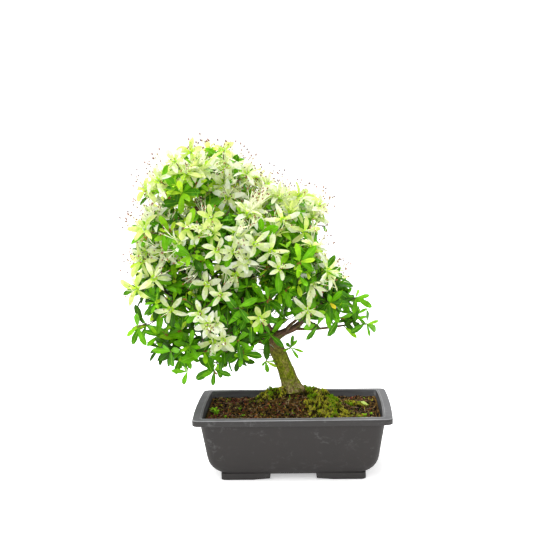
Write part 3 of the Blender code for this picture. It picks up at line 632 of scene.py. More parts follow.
def pot_profile():
    """Rings of the pot's shell: underside, body, lip, beaded rim and inner wall."""
    lip_bottom = POT_HEIGHT - LIP_FACE
    heights = [*SHOULDER_RINGS, *SIDE_RINGS, lip_bottom - 0.1]
    rings = [pot_ring(pot_half_length(height), height) for height in heights]
    rings[0] = pot_ring(pot_half_length(UNDERSIDE), UNDERSIDE, UNDERSIDE_EDGE)
    overhang = RIM_HALF_LENGTH - pot_half_length(lip_bottom)
    inner = overhang + WALL
    top = POT_HEIGHT - RIM_BEAD_RISE
    bead = inner - RIM_BEAD
    edge_corner = BODY_CORNER + WALL
    steps = [(lip_bottom, 0.5, RIM_CORNER), (lip_bottom + 0.7, 0.0, RIM_CORNER),
             (top - 0.9, 0.0, RIM_CORNER), (top, 0.9, RIM_CORNER),
             (top, bead - 0.6, edge_corner), (POT_HEIGHT - 0.15, bead, edge_corner),
             (POT_HEIGHT, bead + 0.5, edge_corner), (POT_HEIGHT, inner - 0.5, edge_corner),
             (POT_HEIGHT - 0.6, inner, edge_corner)]
    narrow = (overhang * DEPTH_DRAFT + WALL) / inner     # the rim is narrower along the long sides
    rings += [pot_ring(RIM_HALF_LENGTH, height, inset, corner, narrow)
              for height, inset, corner in steps]
    for height in (lip_bottom + 4, lip_bottom, *INNER_RINGS):
        rings.append(pot_ring(pot_half_length(height), height, WALL))
    return rings


POT_SIDE, POT_RIM, POT_INSIDE, POT_LIP, POT_EDGE_WEAR_HIGHLIGHT = range(5)
INSIDE_TOP = 73.2               # below this, a face that looks inwards is the inner wall
RIM_BOTTOM = POT_HEIGHT - RIM_BEAD_RISE - 0.95


def part_of_pot(middle, normal):
    """Which finish a face of the pot's shell has, by its middle and normal."""
    height = middle.z / MM
    inwards = normal.dot(Vector((middle.x, middle.y, 0))) < 0
    if inwards and normal.z < 0.7 and height < INSIDE_TOP:
        return POT_INSIDE
    if height > RIM_BOTTOM:
        # The rim's sloped edge faces are lighter: worn edges and a painted highlight along the rim.
        return POT_EDGE_WEAR_HIGHLIGHT if 0.3 < normal.z < 0.95 else POT_RIM
    return POT_LIP if height > POT_HEIGHT - LIP_FACE else POT_SIDE


def bevel(piece, width):
    """Round a piece's sharp edges by a width in mm."""
    apply_modifier(piece, "BEVEL", width=width * MM, segments=2, limit_method="ANGLE",
                   angle_limit=math.radians(50))


def close_up():
    """In edit mode, turn all faces outwards and leave edit mode."""
    bpy.ops.mesh.select_all(action="SELECT")
    bpy.ops.mesh.normals_make_consistent(inside=False)
    bpy.ops.object.mode_set(mode="OBJECT")


def build_pot(settings):
    """The pot's shell, drawn up ring by ring, with a beaded and rounded rim."""
    pot = extrude_rings("pot_shell", pot_profile())
    close_up()
    for name, colour, wear in (("pot_plastic", settings.pot_colour, 0.15),
                               ("pot_rim", settings.rim_colour, 0.5),
                               ("pot_inside", settings.inside_colour, 0.7),
                               ("pot_lip", settings.lip_colour, 0.3),
                               ("pot_edge", settings.edge_wear_highlight_colour, 0.9)):
        pot.data.materials.append(plastic(settings, name, colour, wear))
    for face in pot.data.polygons:
        face.material_index = part_of_pot(face.center - POT_MIDDLE, face.normal)
    bevel(pot, 0.35)
    smooth_shade(pot)
    settle(pot, "pot_plastic", "pot")


FOOT_SUNK = 1.5                 # how far the feet's frame reaches up into the pot


def build_feet(settings):
    """The foot frame, parted by an arch in each side into four corner feet."""
    top = UNDERSIDE + FOOT_SUNK
    sizes = [(0, 0.0), (0, top), (FOOT_WIDTH, top), (FOOT_WIDTH, 0.0)]
    rings = [rounded_ring(FOOT_HALF_LENGTH - inset, FOOT_HALF_DEPTH - inset,
                          max(FOOT_CORNER - inset, 1.0), height, 0.0, 0.0)
             for inset, height in sizes]
    feet = extrude_rings("pot_feet", rings, "NOTHING")
    bpy.ops.mesh.select_mode(type="EDGE")
    bpy.ops.mesh.select_all(action="DESELECT")
    bpy.ops.mesh.select_non_manifold()
    bpy.ops.mesh.bridge_edge_loops()
    close_up()
    for turned, scale in ((False, 1.0), (True, FOOT_HALF_DEPTH / FOOT_HALF_LENGTH)):
        arch = foot_arch(turned, scale)
        apply_modifier(feet, "BOOLEAN", operation="DIFFERENCE", object=arch)
        bpy.data.objects.remove(arch)
    feet.data.materials.clear()
    # The feet have a lighter copy of the pot's plastic: painted light that lifts the shade of their
    # recess under the body.
    feet.data.materials.append(plastic(settings, "pot_foot", settings.foot_colour, 0.12))
    bevel(feet, 0.4)
    smooth_shade(feet)
    settle(feet, "pot_plastic", "pot")


def foot_arch(turned, scale):
    """The cutter that lifts the middle of two facing sides off the ground."""
    deselect_all()
    bpy.ops.mesh.primitive_cube_add(size=1, location=POT_MIDDLE)
    arch = bpy.context.object
    reach = RIM_HALF_LENGTH * 2.2
    below, foot_top = -2.0, UNDERSIDE + 4
    for corner in arch.data.vertices:
        along = FOOT_FLAT_FROM * scale if corner.co.z < 0 else FOOT_END * scale - 1
        height = below if corner.co.z < 0 else foot_top
        corner.co = Vector((math.copysign(along, corner.co.x), math.copysign(reach, corner.co.y),
                            height)) * MM
    bpy.ops.object.mode_set(mode="EDIT")
    bpy.ops.mesh.select_all(action="SELECT")
    for height, half in ((0.0, FOOT_FLAT_FROM * scale), (FOOT_END_RISE, FOOT_END * scale)):
        bpy.ops.mesh.select_all(action="SELECT")
        bpy.ops.mesh.bisect(plane_co=POT_MIDDLE + UP * height * MM, plane_no=UP)
        shape = bmesh.from_edit_mesh(arch.data)
        for corner in shape.verts:
            if corner.select:
                corner.co.x = math.copysign(half * MM, corner.co.x)
        bmesh.update_edit_mesh(arch.data)
    bpy.ops.object.mode_set(mode="OBJECT")
    if turned:
        arch.data.transform(Matrix.Rotation(math.pi / 2, 4, "Z"))
    return arch


def plastic(settings, name, colour, wear):
    """Grainy moulded plastic with faint smudges, scuffs and scratches; wear is how much."""
    finish = Finish(name, colour, 0.6, 0.21)
    smudges = finish.cloud(26, 4, (1, 1, 0.8))
    streaks = finish.cloud(1.6, 3, (0.05, 0.05, 1))
    tone = finish.ramp(smudges, (0.34, shade(colour, 0.90)), (0.66, shade(colour, 1.12)))
    lined = finish.blend(finish.level(streaks, 0.42, 0.66, 0.0, max(0.0, wear - 0.15)), tone,
                         shade(colour, 1.7))
    scuffs = finish.product(finish.level(finish.cloud(8, 7, (0.8, 1, 1), rough=0.75), 0.55, 0.76),
                            finish.level(finish.cloud(40, 2), 0.44, 0.64, 0.0, wear * 1.1))
    finish.colour(finish.blend(scuffs, lined, settings.wear_colour))
    finish.roughness(finish.level(smudges, 0.3, 0.7, 0.5, 0.68))
    finish.bump((finish.cloud(0.5, 2), 0.05), (finish.cloud(3, 2), 0.04))
    return finish.material


# ---------------------------------------------------------------- soil

SOIL_RISE = 0.8                 # how far the dressed soil stands over the solid one
WALL_GAP = 0.3                  # between the soil and the pot's wall
TRUNK_CLEAR = 15.0              # loose things keep this far from the trunk's middle


def soil_height(x, y):
    """Height of the soil in mm: a low heap with its top at the trunk, and small lumps."""
    distance = min(1.0, math.hypot((x - TRUNK_FOOT[0]) / HEAP_REACH[0],
                                   (y - TRUNK_FOOT[1]) / HEAP_REACH[1]))
    heap = 0.5 + 0.5 * math.cos(math.pi * distance)
    lump = SOIL_LUMP * flat_noise(x, y, 9) * min(1.0, 2 * distance)
    return SOIL_EDGE + (TRUNK_FOOT[2] - 0.3 - SOIL_EDGE) * heap ** 0.8 + lump


def soil_outline():
    """Half-length, half-depth and corner of the room inside the pot at the soil's edge."""
    half_length = pot_half_length(SOIL_EDGE)
    half_depth = RIM_HALF_DEPTH - (RIM_HALF_LENGTH - half_length) * DEPTH_DRAFT
    inset = WALL + WALL_GAP
    return half_length - inset, half_depth - inset, BODY_CORNER - inset


def keep_in_pot(x, y):
    """Pull a place on the soil inside the pot's rounded outline."""
    half_x, half_y, corner = soil_outline()
    over_x = abs(x) - (half_x - corner)
    over_y = abs(y) - (half_y - corner)
    if over_x > 0 and over_y > 0:
        reach = math.hypot(over_x, over_y)
        longest = max(over_x, over_y)
        x = math.copysign(half_x - corner + over_x * longest / reach, x)
        y = math.copysign(half_y - corner + over_y * longest / reach, y)
    return x, y


def random_soil_place(rng, edge=2.0):
    """A place on the soil, in mm, not under the trunk."""
    half_x, half_y, _ = soil_outline()
    while True:
        x = rng.uniform(edge - half_x, half_x - edge)
        y = rng.uniform(edge - half_y, half_y - edge)
        if math.hypot(x - TRUNK_FOOT[0], y - TRUNK_FOOT[1]) > TRUNK_CLEAR:
            return keep_in_pot(x, y)


def build_soil(settings):
    """The bed of soil inside the pot, heaped up to the trunk."""
    deselect_all()
    bpy.ops.mesh.primitive_grid_add(x_subdivisions=150, y_subdivisions=104, size=2,
                                    location=(0, 0, 0))
    soil = bpy.context.object
    soil.name = "soil_bed"
    half_x, half_y, _ = soil_outline()
    for point in soil.data.vertices:
        x, y = keep_in_pot(point.co.x * half_x, point.co.y * half_y)
        rough = 1.1 * flat_noise(x, y, 4.2) + 0.8 * flat_noise(x + 90, y, 1.9)
        point.co = spot(x, y, soil_height(x, y) + SOIL_RISE + rough)
    bpy.ops.object.mode_set(mode="EDIT")
    bpy.ops.mesh.select_all(action="SELECT")
    bpy.ops.mesh.extrude_region_move()
    shape = bmesh.from_edit_mesh(soil.data)
    for corner in shape.verts:
        if corner.select:
            corner.co.z = (SOIL_EDGE - SOIL_DEEP) * MM
    bmesh.update_edit_mesh(soil.data)
    close_up()
    finish = Finish("soil_bed", settings.soil_colour, 0.95, 0.05)
    colour = settings.soil_colour
    finish.colour(finish.ramp(finish.cloud(4, 6, rough=0.8), (0.36, shade(colour, 0.10)),
                              (0.48, colour), (0.64, shade(colour, 3.0))))
    finish.bump((finish.cloud(2.4, 5), 1.4))
    soil.data.materials.append(finish.material)
    smooth_shade(soil, 60)
    settle(soil, "soil", "soil")


# Grains of the soil: name, colour and how common they are.
GRAINS = [
    ("soil_grain_dark", (0.006, 0.003, 0.002), 7),
    ("soil_grain_brown", (0.080, 0.045, 0.012), 6),
    ("soil_grain_red", (0.150, 0.030, 0.020), 3),
    ("soil_grain_orange", (0.340, 0.125, 0.030), 2),
    ("soil_grain_tan", (0.260, 0.190, 0.075), 4),
]
GRAIN_DARK, GRAIN_RED = 0, 2
RED_GRAIN_PLACES = [(-92, -30, 26), (-40, -52, 22), (-60, 40, 24)]   # where red grains gather
OCTAHEDRON = [(1, 0, 0), (0, 1, 0), (-1, 0, 0), (0, -1, 0), (0, 0, 1), (0, 0, -1)]
OCTAHEDRON_FACES = [(0, 1, 4), (1, 2, 4), (2, 3, 4), (3, 0, 4),
                    (1, 0, 5), (2, 1, 5), (3, 2, 5), (0, 3, 5)]
# Towards the wall more grains are dark: painted shade by the pot's wall.
WALL_SHADE_FROM = (88, 58)      # beyond these half-sizes more grains are dark, up to the wall
WALL_SHADE_BAND = 10


def grain_material(name, colour):
    finish = Finish(name, colour, 0.95, 0.15)
    finish.colour(finish.ramp(finish.cloud(1.2, 3), (0.3, shade(colour, 0.6)),
                              (0.7, shade(colour, 1.35))))
    finish.bump((finish.cloud(0.5, 2), 0.2))
    return finish.material


def build_crumbs(settings):
    """Loose grains of soil over the whole bed."""
    rng = random.Random(SEED + 1)
    batch = Batch()
    kinds = [index for index, (_, _, share) in enumerate(GRAINS) for _ in range(share)]
    for _ in range(settings.soil_grains):
        x, y = random_soil_place(rng, 2.5)
        size = rng.uniform(0.5, 1.1) * rng.choice((1, 1, 1.3, 1.8))
        middle = spot(x, y, soil_height(x, y) + SOIL_RISE + size * rng.uniform(-0.2, 0.6))
        turn = Matrix.Rotation(rng.uniform(0, math.tau), 3, (rng.random(), rng.random(), 0.5))
        stretch = Vector((rng.uniform(0.7, 1.3), rng.uniform(0.7, 1.3), rng.uniform(0.6, 1.0)))
        points = []
        for corner in OCTAHEDRON:
            ragged = Vector(corner) * stretch * size * MM * rng.uniform(0.75, 1.2)
            points.append(middle + turn @ ragged)
        gathered = any(math.hypot(x - a, y - b) < reach * rng.random()
                       for a, b, reach in RED_GRAIN_PLACES)
        # Grains made dark in noise patches, and more so near the wall, are painted shade.
        by_wall = max(abs(x) - WALL_SHADE_FROM[0], abs(y) - WALL_SHADE_FROM[1], 0) / WALL_SHADE_BAND
        shaded = flat_noise(x + 17, y, 6) + 0.4 * rng.uniform(-1, 1) < -0.12 + 0.3 * by_wall
        kind = rng.choice(kinds)
        if gathered:
            kind = GRAIN_RED
        elif shaded:
            kind = GRAIN_DARK
        batch.add(points, OCTAHEDRON_FACES, kind)
    materials = [grain_material(name, colour) for name, colour, _ in GRAINS]
    crumbs = batch.build("soil_grains", materials)
    crumbs.data.shade_flat()
    settle(crumbs, "soil", "soil")


# Seedlings: pixel column and row of their foot, and size.
SEEDLINGS = [(214.5, 416, 1.7), (217, 417, 1.4), (225.5, 419, 0.8), (240, 411, 0.8),
             (243.5, 418, 0.8), (365, 418, 1.0), (371, 416, 0.8)]
FALLEN_LEAF = [((368, 407), 2.5), ((359, 405), 4.0)]     # pixel and height of its root and tip
LEAF_FALLEN_WIDTH = 6.5
LITTER = (("root_fibre", (0.20, 0.11, 0.055)), ("root_fibre_pale", (0.42, 0.31, 0.19)),
          ("seedling", (0.22, 0.47, 0.01)), ("fallen_leaf", (0.50, 0.62, 0.16)))
FIBRE, FIBRE_PALE, SEEDLING, FALLEN = range(4)
FIBRE_STEPS = 4


def add_fibre(batch, rng):
    """A root fibre that winds over the soil."""
    x, y = random_soil_place(rng, 7)
    turn = rng.uniform(0, math.tau)
    length = rng.uniform(4, 13)
    places = []
    for _ in range(FIBRE_STEPS + 1):
        turn += rng.uniform(-0.5, 0.5)
        places.append(spot(x, y, soil_height(x, y) + SOIL_RISE + 0.7 + 0.9 * rng.random()))
        x += math.cos(turn) * length / FIBRE_STEPS
        y += math.sin(turn) * length / FIBRE_STEPS
        x, y = keep_in_pot(x, y)
    radius = rng.uniform(0.14, 0.34) * MM
    points, faces = tube(places, [radius] * FIBRE_STEPS + [radius / 2], 3)
    batch.add(points, faces, rng.choice((FIBRE, FIBRE, FIBRE_PALE)))


def add_seedling(batch, place, size, rng):
    """A seedling's stem and leaves; size 1 is 4 mm tall."""
    height = 4.0 * size
    stem, faces = tube([place, place + Vector((0.4, 0, height * 0.5)) * MM,
                        place + Vector((0.2, 0, height)) * MM], [0.3 * MM] * 3, 3)
    batch.add(stem, faces, SEEDLING)
    for level in range(round(2 * size)):
        add_seed_leaves(batch, place + UP * height * (0.5 + 0.5 * level / 2) * MM, size, rng)


def build_litter(settings):
    """Root fibres, a few seedlings and a fallen leaf on the soil."""
    rng = random.Random(SEED + 2)
    batch = Batch()
    for _ in range(settings.soil_fibres):
        add_fibre(batch, rng)
    for column, row, size in SEEDLINGS:
        add_seedling(batch, soil_under_pixel(column, row), size, rng)
    root, tip = (soil_under_pixel(*pixel) + UP * rise * MM for pixel, rise in FALLEN_LEAF)
    add_leaf(batch, root, (tip - root).normalized(), Vector((0, -0.8, 0.6)),
             (tip - root).length / MM, LEAF_FALLEN_WIDTH, 0.1, FALLEN, FALLEN, 0.0)
    litter = batch.build("soil_litter", [grain_material(name, colour) for name, colour in LITTER])
    settle(litter, "soil", "soil")


CAMERA_REACH = (1.1, 1.6)       # metres from the camera between which the soil lies


def soil_under_pixel(column, row):
    """The place on the soil that the camera sees at a pixel."""
    start = spot(*CAMERA_PLACE)
    ray = image_ray(column, row)
    low, high = CAMERA_REACH
    for _ in range(30):
        middle = (low + high) / 2
        local = (start + ray * middle - POT_MIDDLE) / MM
        if local.z > soil_height(local.x, local.y):
            low = middle
        else:
            high = middle
    local = (start + ray * high - POT_MIDDLE) / MM
    half_x, half_y, _ = soil_outline()
    x = max(3 - half_x, min(half_x - 3, local.x))
    y = max(3 - half_y, min(half_y - 3, local.y))
    return spot(x, y, soil_height(x, y))


def add_seed_leaves(batch, place, size, rng):
    """A few small leaves round a seedling's stem."""
    turn = rng.uniform(0, math.tau)
    for k in range(4):
        angle = turn + math.tau * k / 4
        out = Vector((math.cos(angle), math.sin(angle), 0.7)).normalized()
        add_leaf(batch, place, out, UP, rng.uniform(2.8, 4.2) * size, 2.0 * size, 0.1,
                 SEEDLING, SEEDLING)


# ---------------------------------------------------------------- moss

def moss_lump(x, y):
    """Clumps of the moss, from about -1 in the gaps to 1 on top."""
    return 1.3 * flat_noise(x, y, 8) + 0.9 * flat_noise(x, y + 50, 3.6)


def moss_rise(x, y):
    """Height of the moss over the soil at a place, in mm, or 0 where there is none."""
    best = 0.0
    for cushions in MOSS.values():
        for centre, halves, rise in cushions:
            away = math.hypot((x - centre[0]) / halves[0], (y - centre[1]) / halves[1])
            ragged = away + 0.22 * flat_noise(x, y, 6) + 0.12 * flat_noise(x, y, 2.5)
            best = max(best, rise * math.sqrt(max(0.0, 1 - ragged ** 2)))
    return best


def build_moss(settings):
    """Lumpy cushions of moss, one for each patch, with tufts standing out of them."""
    material = moss_material("moss_bed", shade(settings.moss_colour, 0.6))
    for name, cushions in MOSS.items():
        parts = []
        for centre, halves, rise in cushions:
            deselect_all()
            bpy.ops.mesh.primitive_uv_sphere_add(segments=64, ring_count=36, radius=1,
                                                 location=(0, 0, 0))
            dome = bpy.context.object
            for point in dome.data.vertices:
                x = centre[0] + point.co.x * halves[0]
                y = centre[1] + point.co.y * halves[1]
                lift = (rise + SOIL_RISE) * max(0.0, point.co.z) * (0.7 + 0.6 * moss_lump(x, y))
                sink = 4.0 * min(0.0, point.co.z)
                point.co = spot(x, y, soil_height(x, y) - 0.4 + lift + sink)
            parts.append(dome)
        deselect_all()
        for part in parts:
            part.select_set(True)
        bpy.context.view_layer.objects.active = parts[0]
        if len(parts) > 1:
            bpy.ops.object.join()
        cushion = parts[0]
        cushion.name = name + "_cushion"
        cushion.data.materials.append(material)
        smooth_shade(cushion, 60)
        settle(cushion, "moss", name)
    build_moss_tufts(settings)


def moss_material(name, colour):
    finish = Finish(name, colour, 0.95, 0.05)
    finish.colour(finish.ramp(finish.cloud(5, 5, rough=0.7), (0.36, shade(colour, 0.15)),
                              (0.50, colour), (0.64, shade(colour, 2.2))))
    finish.bump((finish.cloud(1.6, 3), 1.0))
    return finish.material


MOSS_SPILL = (52, -40, 34, 24)  # middle and half-sizes of the thin moss at the front right
MOSS_RING = 25.0                # nearer the trunk than this most moss is fresh
MOSS_KINDS = ("moss_green", "moss_bright", "moss_yellow", "moss_straw", "moss_brown", "moss_shade")
GREEN, BRIGHT, PALE, STRAW, BROWN, SHADE = range(6)
STRAW_COLOUR = (0.30, 0.24, 0.08)
BROWN_COLOUR = (0.09, 0.055, 0.015)
SHADE_COLOUR = (0.018, 0.022, 0.004)


def moss_kind(x, y, clump, rng):
    """Which kind a tuft is: brown and shaded in the gaps, fresh in patches and near the trunk."""
    patch = clump + 0.25 * rng.uniform(-1, 1)
    fresh = flat_noise(x + 31, y, 14) + 0.2 * rng.uniform(-1, 1)
    if math.hypot(x - TRUNK_FOOT[0], y - TRUNK_FOOT[1]) < MOSS_RING:
        fresh += 0.35
    if patch < -0.15:
        return rng.choice((BROWN, SHADE, SHADE))
    if patch < 0.12:
        return rng.choice((GREEN, GREEN, PALE, BROWN, SHADE))
    return BRIGHT if fresh > 0.1 else rng.choice((PALE, PALE, PALE, STRAW))


def add_tuft(batch, root, kind, rng):
    """Four or five blades that lean outwards from one root."""
    for _ in range(rng.choice((4, 5))):
        turn = rng.uniform(0, math.tau)
        lean = rng.uniform(0.15, 1.1)
        reach = rng.uniform(1.5, 3.2) * MM
        out = Vector((math.cos(turn), math.sin(turn), 0))
        tip = root + (out * math.sin(lean) + UP * math.cos(lean)) * reach
        across = Vector((-out.y, out.x, 0)) * rng.uniform(0.4, 0.8) * MM
        batch.add([root - across, root + across, tip], [(0, 1, 2)], kind)


def build_moss_tufts(settings):
    """Slender blades in small tufts, over the cushions and thinly on the soil near them."""
    rng = random.Random(SEED + 3)
    batch = Batch()
    made = 0
    while made < settings.moss_tufts:
        x, y = random_soil_place(rng, 5)
        rise = moss_rise(x, y)
        near = moss_rise(x * 0.93, y * 0.93 + 1)
        spill = math.hypot((x - MOSS_SPILL[0]) / MOSS_SPILL[2], (y - MOSS_SPILL[1]) / MOSS_SPILL[3])
        if rise <= 0 and rng.random() > (0.4 if near > 0 or spill < 1 else 0.02):
            continue
        made += 1
        clump = moss_lump(x, y)
        height = (rise + SOIL_RISE) * (0.7 + 0.6 * clump) if rise > 0 else SOIL_RISE
        root = spot(x, y, soil_height(x, y) + height - 0.3)
        add_tuft(batch, root, moss_kind(x, y, clump, rng), rng)
    colours = (settings.moss_colour, settings.moss_bright_colour, settings.moss_tip_colour,
               STRAW_COLOUR, BROWN_COLOUR, SHADE_COLOUR)
    tufts = batch.build("moss_tufts", [Finish(name, colour, 0.9, 0.1).material
                                       for name, colour in zip(MOSS_KINDS, colours)])
    settle(tufts, "moss", *MOSS)


# ---------------------------------------------------------------- trunk and boughs

def smooth_path(points, step):
    """Places about one step apart on a Catmull-Rom curve, each with its share of the way."""
    ends = [points[0] * 2 - points[1]] + list(points) + [points[-1] * 2 - points[-2]]
    path = [(points[0], 0.0)]
    total = sum((b - a).length for a, b in zip(points, points[1:]))
    done = 0.0
    for k in range(len(points) - 1):
        p0, p1, p2, p3 = ends[k:k + 4]
        length = (p2 - p1).length
        pieces = max(1, round(length / step))
        for piece in range(1, pieces + 1):
            t = piece / pieces
            place = 0.5 * (2 * p1 + (p2 - p0) * t + (2 * p0 - 5 * p1 + 4 * p2 - p3) * t ** 2
                           + (3 * p1 - p0 - 3 * p2 + p3) * t ** 3)
            path.append((place, (done + t * length) / total))
        done += length
    return path


class Limb:
    """A trunk or bough: the points of its middle line in mm and its radius at each."""

    def __init__(self, name, places, radii):
        self.name = name
        self.places = places
        self.radii = radii

    def tip_direction(self):
        return (self.places[-1] - self.places[-2]).normalized()

    def at(self, share):
        """Place a share of the way from foot to tip."""
        position = share * (len(self.places) - 1)
        index = min(int(position), len(self.places) - 2)
        return self.places[index].lerp(self.places[index + 1], position - index)

    def finer(self, step):
        """The same limb with joints about one step apart."""
        total = sum((b - a).length for a, b in zip(self.places, self.places[1:]))
        shares = [0.0]
        for a, b in zip(self.places, self.places[1:]):
            shares.append(shares[-1] + (b - a).length / total)
        path = smooth_path(self.places, step)
        radii = np.interp([done for _, done in path], shares, self.radii)
        return Limb(self.name, [place for place, _ in path], list(radii))


LIMB_STEP = 13.0                # length of the steps in which a bough's middle line is drawn
COLLAR_REACH = 0.25             # share of a bough's length over which its collar fades


@functools.lru_cache
def make_limbs():
    """The trunk and every bough, as in the part's source."""
    limbs = {"trunk": Limb("trunk", [Vector(point) for point, _ in TRUNK],
                           [radius for _, radius in TRUNK])}
    for name, (parent, share, points, first, last) in BOUGHS.items():
        start = limbs[parent].at(share)
        path = smooth_path([start] + [Vector(point) for point in points], LIMB_STEP)
        radii = []
        for _, done in path:
            collar = LIMB_COLLAR * max(0.0, 1 - done / COLLAR_REACH) ** 2 if share < 1.0 else 0.0
            radii.append((first + (last - first) * done) * (1 + collar))
        limbs[name] = Limb(name, [place for place, _ in path], radii)
    return limbs


BARK_STEP = 1.6                 # length of the bark mesh's cells along a limb
BARK_SIDES = (56, 26, 16)       # for the trunk, thick boughs and the others
THICK_BOUGH = 5.0               # a bough whose radius at the foot is over this is thick


def bark_relief(place, around, along, depth):
    """How far the bark stands out at a place, in mm: furrows along the limb, and knobs."""
    furrow = noise(Vector((around.x * 4.2, around.y * 4.2, along / 16)))
    flake = noise(Vector((around.x * 9.0 + 7, around.y * 9.0, along / 6)))
    knob = noise(place / 7.5)
    return depth * (0.55 * knob + 0.9 * furrow - 0.5 * abs(flake))


def add_limb_skin(points, faces, patterns, limb, sides, depth, level_foot):
    """Add a limb's bark to lists of points, triangles and places in the bark's pattern."""
    first = len(points)
    normal = Vector((0, 1, 0))
    last = len(limb.places) - 1
    along = 0.0
    seed = Vector((len(limb.name) * 3.1, sum(map(ord, limb.name)) % 17, 0))
    for index, (place, radius) in enumerate(zip(limb.places, limb.radii)):
        before, after = limb.places[max(index - 1, 0)], limb.places[min(index + 1, last)]
        tangent = UP if level_foot and index == 0 else (after - before).normalized()
        normal = (normal - tangent * normal.dot(tangent)).normalized()
        side = tangent.cross(normal)
        along += (place - limb.places[max(index - 1, 0)]).length
        for k in range(sides):
            angle = math.tau * k / sides
            lobe = 1.0
            if level_foot:
                low = max(0.0, 1 - (place.z - TRUNK_FOOT[2]) / FLARE_HEIGHT)
                lobe += FLARE_DEPTH * low * math.cos(FLARE_LOBES * angle + 0.6)
            around = Vector((math.cos(angle), math.sin(angle)))
            out = normal * around.x + side * around.y
            relief = bark_relief(place + out * radius + seed * 9, around, along + seed.x, depth)
            taper = min(1.0, (last - index) / 4)
            points.append(place + out * (radius * lobe + relief * taper))
            patterns.append((around.x * radius * MM, around.y * radius * MM, along * MM + seed.y))
    faces += [tuple(corner + first for corner in face)
              for face in ring_faces(last + 1, sides, True, True)]
    points += [limb.places[last] + limb.tip_direction() * limb.radii[last] * 0.5, limb.places[0]]
    patterns += [(0, 0, along * MM + seed.y), (0, 0, seed.y)]


def bark_piece(name, limbs, depth, material, level_foot=False):
    """One mesh of bark over some limbs, with the pattern's places kept on its points."""
    points, faces, patterns = [], [], []
    for limb in limbs:
        thick = 0 if level_foot else 1 if limb.radii[0] > THICK_BOUGH else 2
        add_limb_skin(points, faces, patterns, limb.finer(BARK_STEP), BARK_SIDES[thick],
                      depth * min(1.0, limb.radii[0] / 8), level_foot)
    mesh = bpy.data.meshes.new(name)
    mesh.from_pydata([spot(*point) for point in points], [], faces)
    pattern = mesh.attributes.new("bark_pattern", "FLOAT_VECTOR", "POINT")
    pattern.data.foreach_set("vector", np.array(patterns, float).ravel())
    mesh.materials.append(material)
    mesh.shade_smooth()
    piece = bpy.data.objects.new(name, mesh)
    bpy.context.scene.collection.objects.link(piece)
    return piece


TRUNK_PALE_FROM = 90.0          # heights between which the foot's pale flecks fade out
TRUNK_PALE_TO = 104.0
TRUNK_BROWN_FROM = 124.0        # heights between which the trunk turns from mossy to brown
TRUNK_BROWN_TO = 152.0


def build_trunk(settings):
    """The leaning trunk in old bark, mossy on its sides and paler at the foot."""
    material = trunk_material(settings)
    trunk = bark_piece("trunk_bark", [make_limbs()["trunk"]], settings.bark_depth, material, True)
    settle(trunk, "bark", "trunk")


def trunk_material(settings):
    """Rough bark, mottled green with brown flecks, pale at the foot and brown near the fork."""
    finish = Finish("trunk_bark", settings.trunk_colour, 0.9, 0.1)
    base, moss, dark = settings.trunk_colour, settings.trunk_moss_colour, settings.bark_colour
    fine = finish.cloud(2.6, 6, (1, 1, 0.8), "bark_pattern", 0.75)
    blotches = finish.cloud(9, 4, (1, 1, 0.7), "bark_pattern")
    rings = finish.cloud(3.4, 4, (0.6, 0.6, 1.3), "bark_pattern", 0.7)
    bare = finish.ramp(fine, (0.34, shade(base, 0.2)), (0.47, base), (0.62, shade(base, 2.2)))
    mossy = finish.ramp(fine, (0.34, shade(moss, 0.3)), (0.49, moss), (0.66, shade(moss, 2.2)))
    brown = finish.ramp(fine, (0.30, shade(dark, 0.35)), (0.62, shade(dark, 1.6)))
    covered = finish.blend(finish.level(blotches, 0.36, 0.50), bare, mossy)
    flecked = finish.blend(finish.level(rings, 0.56, 0.64, 0.0, 0.75), covered, brown)
    low = finish.level(finish.height(), TRUNK_PALE_FROM * MM, TRUNK_PALE_TO * MM, 0.75, 0.0)
    pale = finish.ramp(fine, (0.36, settings.foot_dark_colour), (0.50, settings.foot_colour),
                       (0.62, shade(settings.foot_colour, 1.8)))
    footed = finish.blend(finish.product(low, finish.level(rings, 0.40, 0.50)), flecked, pale)
    high = finish.level(finish.height(), TRUNK_BROWN_FROM * MM, TRUNK_BROWN_TO * MM)
    finish.colour(finish.blend(high, footed, brown))
    finish.bump((finish.cloud(1.6, 4, (1, 1, 0.6), "bark_pattern"), 0.7),
                (finish.cloud(0.5, 2, (1, 1, 1), "bark_pattern"), 0.15))
    return finish.material


def build_boughs(settings):
    """Every bough in brown bark, growing out of its parent."""
    finish = Finish("bough_bark", settings.bark_colour, 0.8, 0.25)
    dark = settings.bark_colour
    streaks = finish.cloud(1.8, 4, (1, 1, 0.25), "bark_pattern", 0.65)
    plain = finish.ramp(streaks, (0.3, shade(dark, 0.4)), (0.5, dark), (0.68, shade(dark, 2.0)))
    mossy = finish.ramp(streaks, (0.3, shade(settings.trunk_moss_colour, 0.4)),
                        (0.7, shade(settings.trunk_moss_colour, 1.1)))
    patches = finish.level(finish.cloud(12, 3), 0.52, 0.66, 0, 0.6)
    finish.colour(finish.blend(patches, plain, mossy))
    finish.bump((finish.cloud(0.8, 3, (1, 1, 0.35), "bark_pattern"), 0.3))
    limbs = [limb for name, limb in make_limbs().items() if name != "trunk"]
    boughs = bark_piece("bough_bark", limbs, settings.bark_depth * 0.6, finish.material)
    settle(boughs, "twig_bark", *BOUGHS)


# ---------------------------------------------------------------- crown: where twigs and shoots go

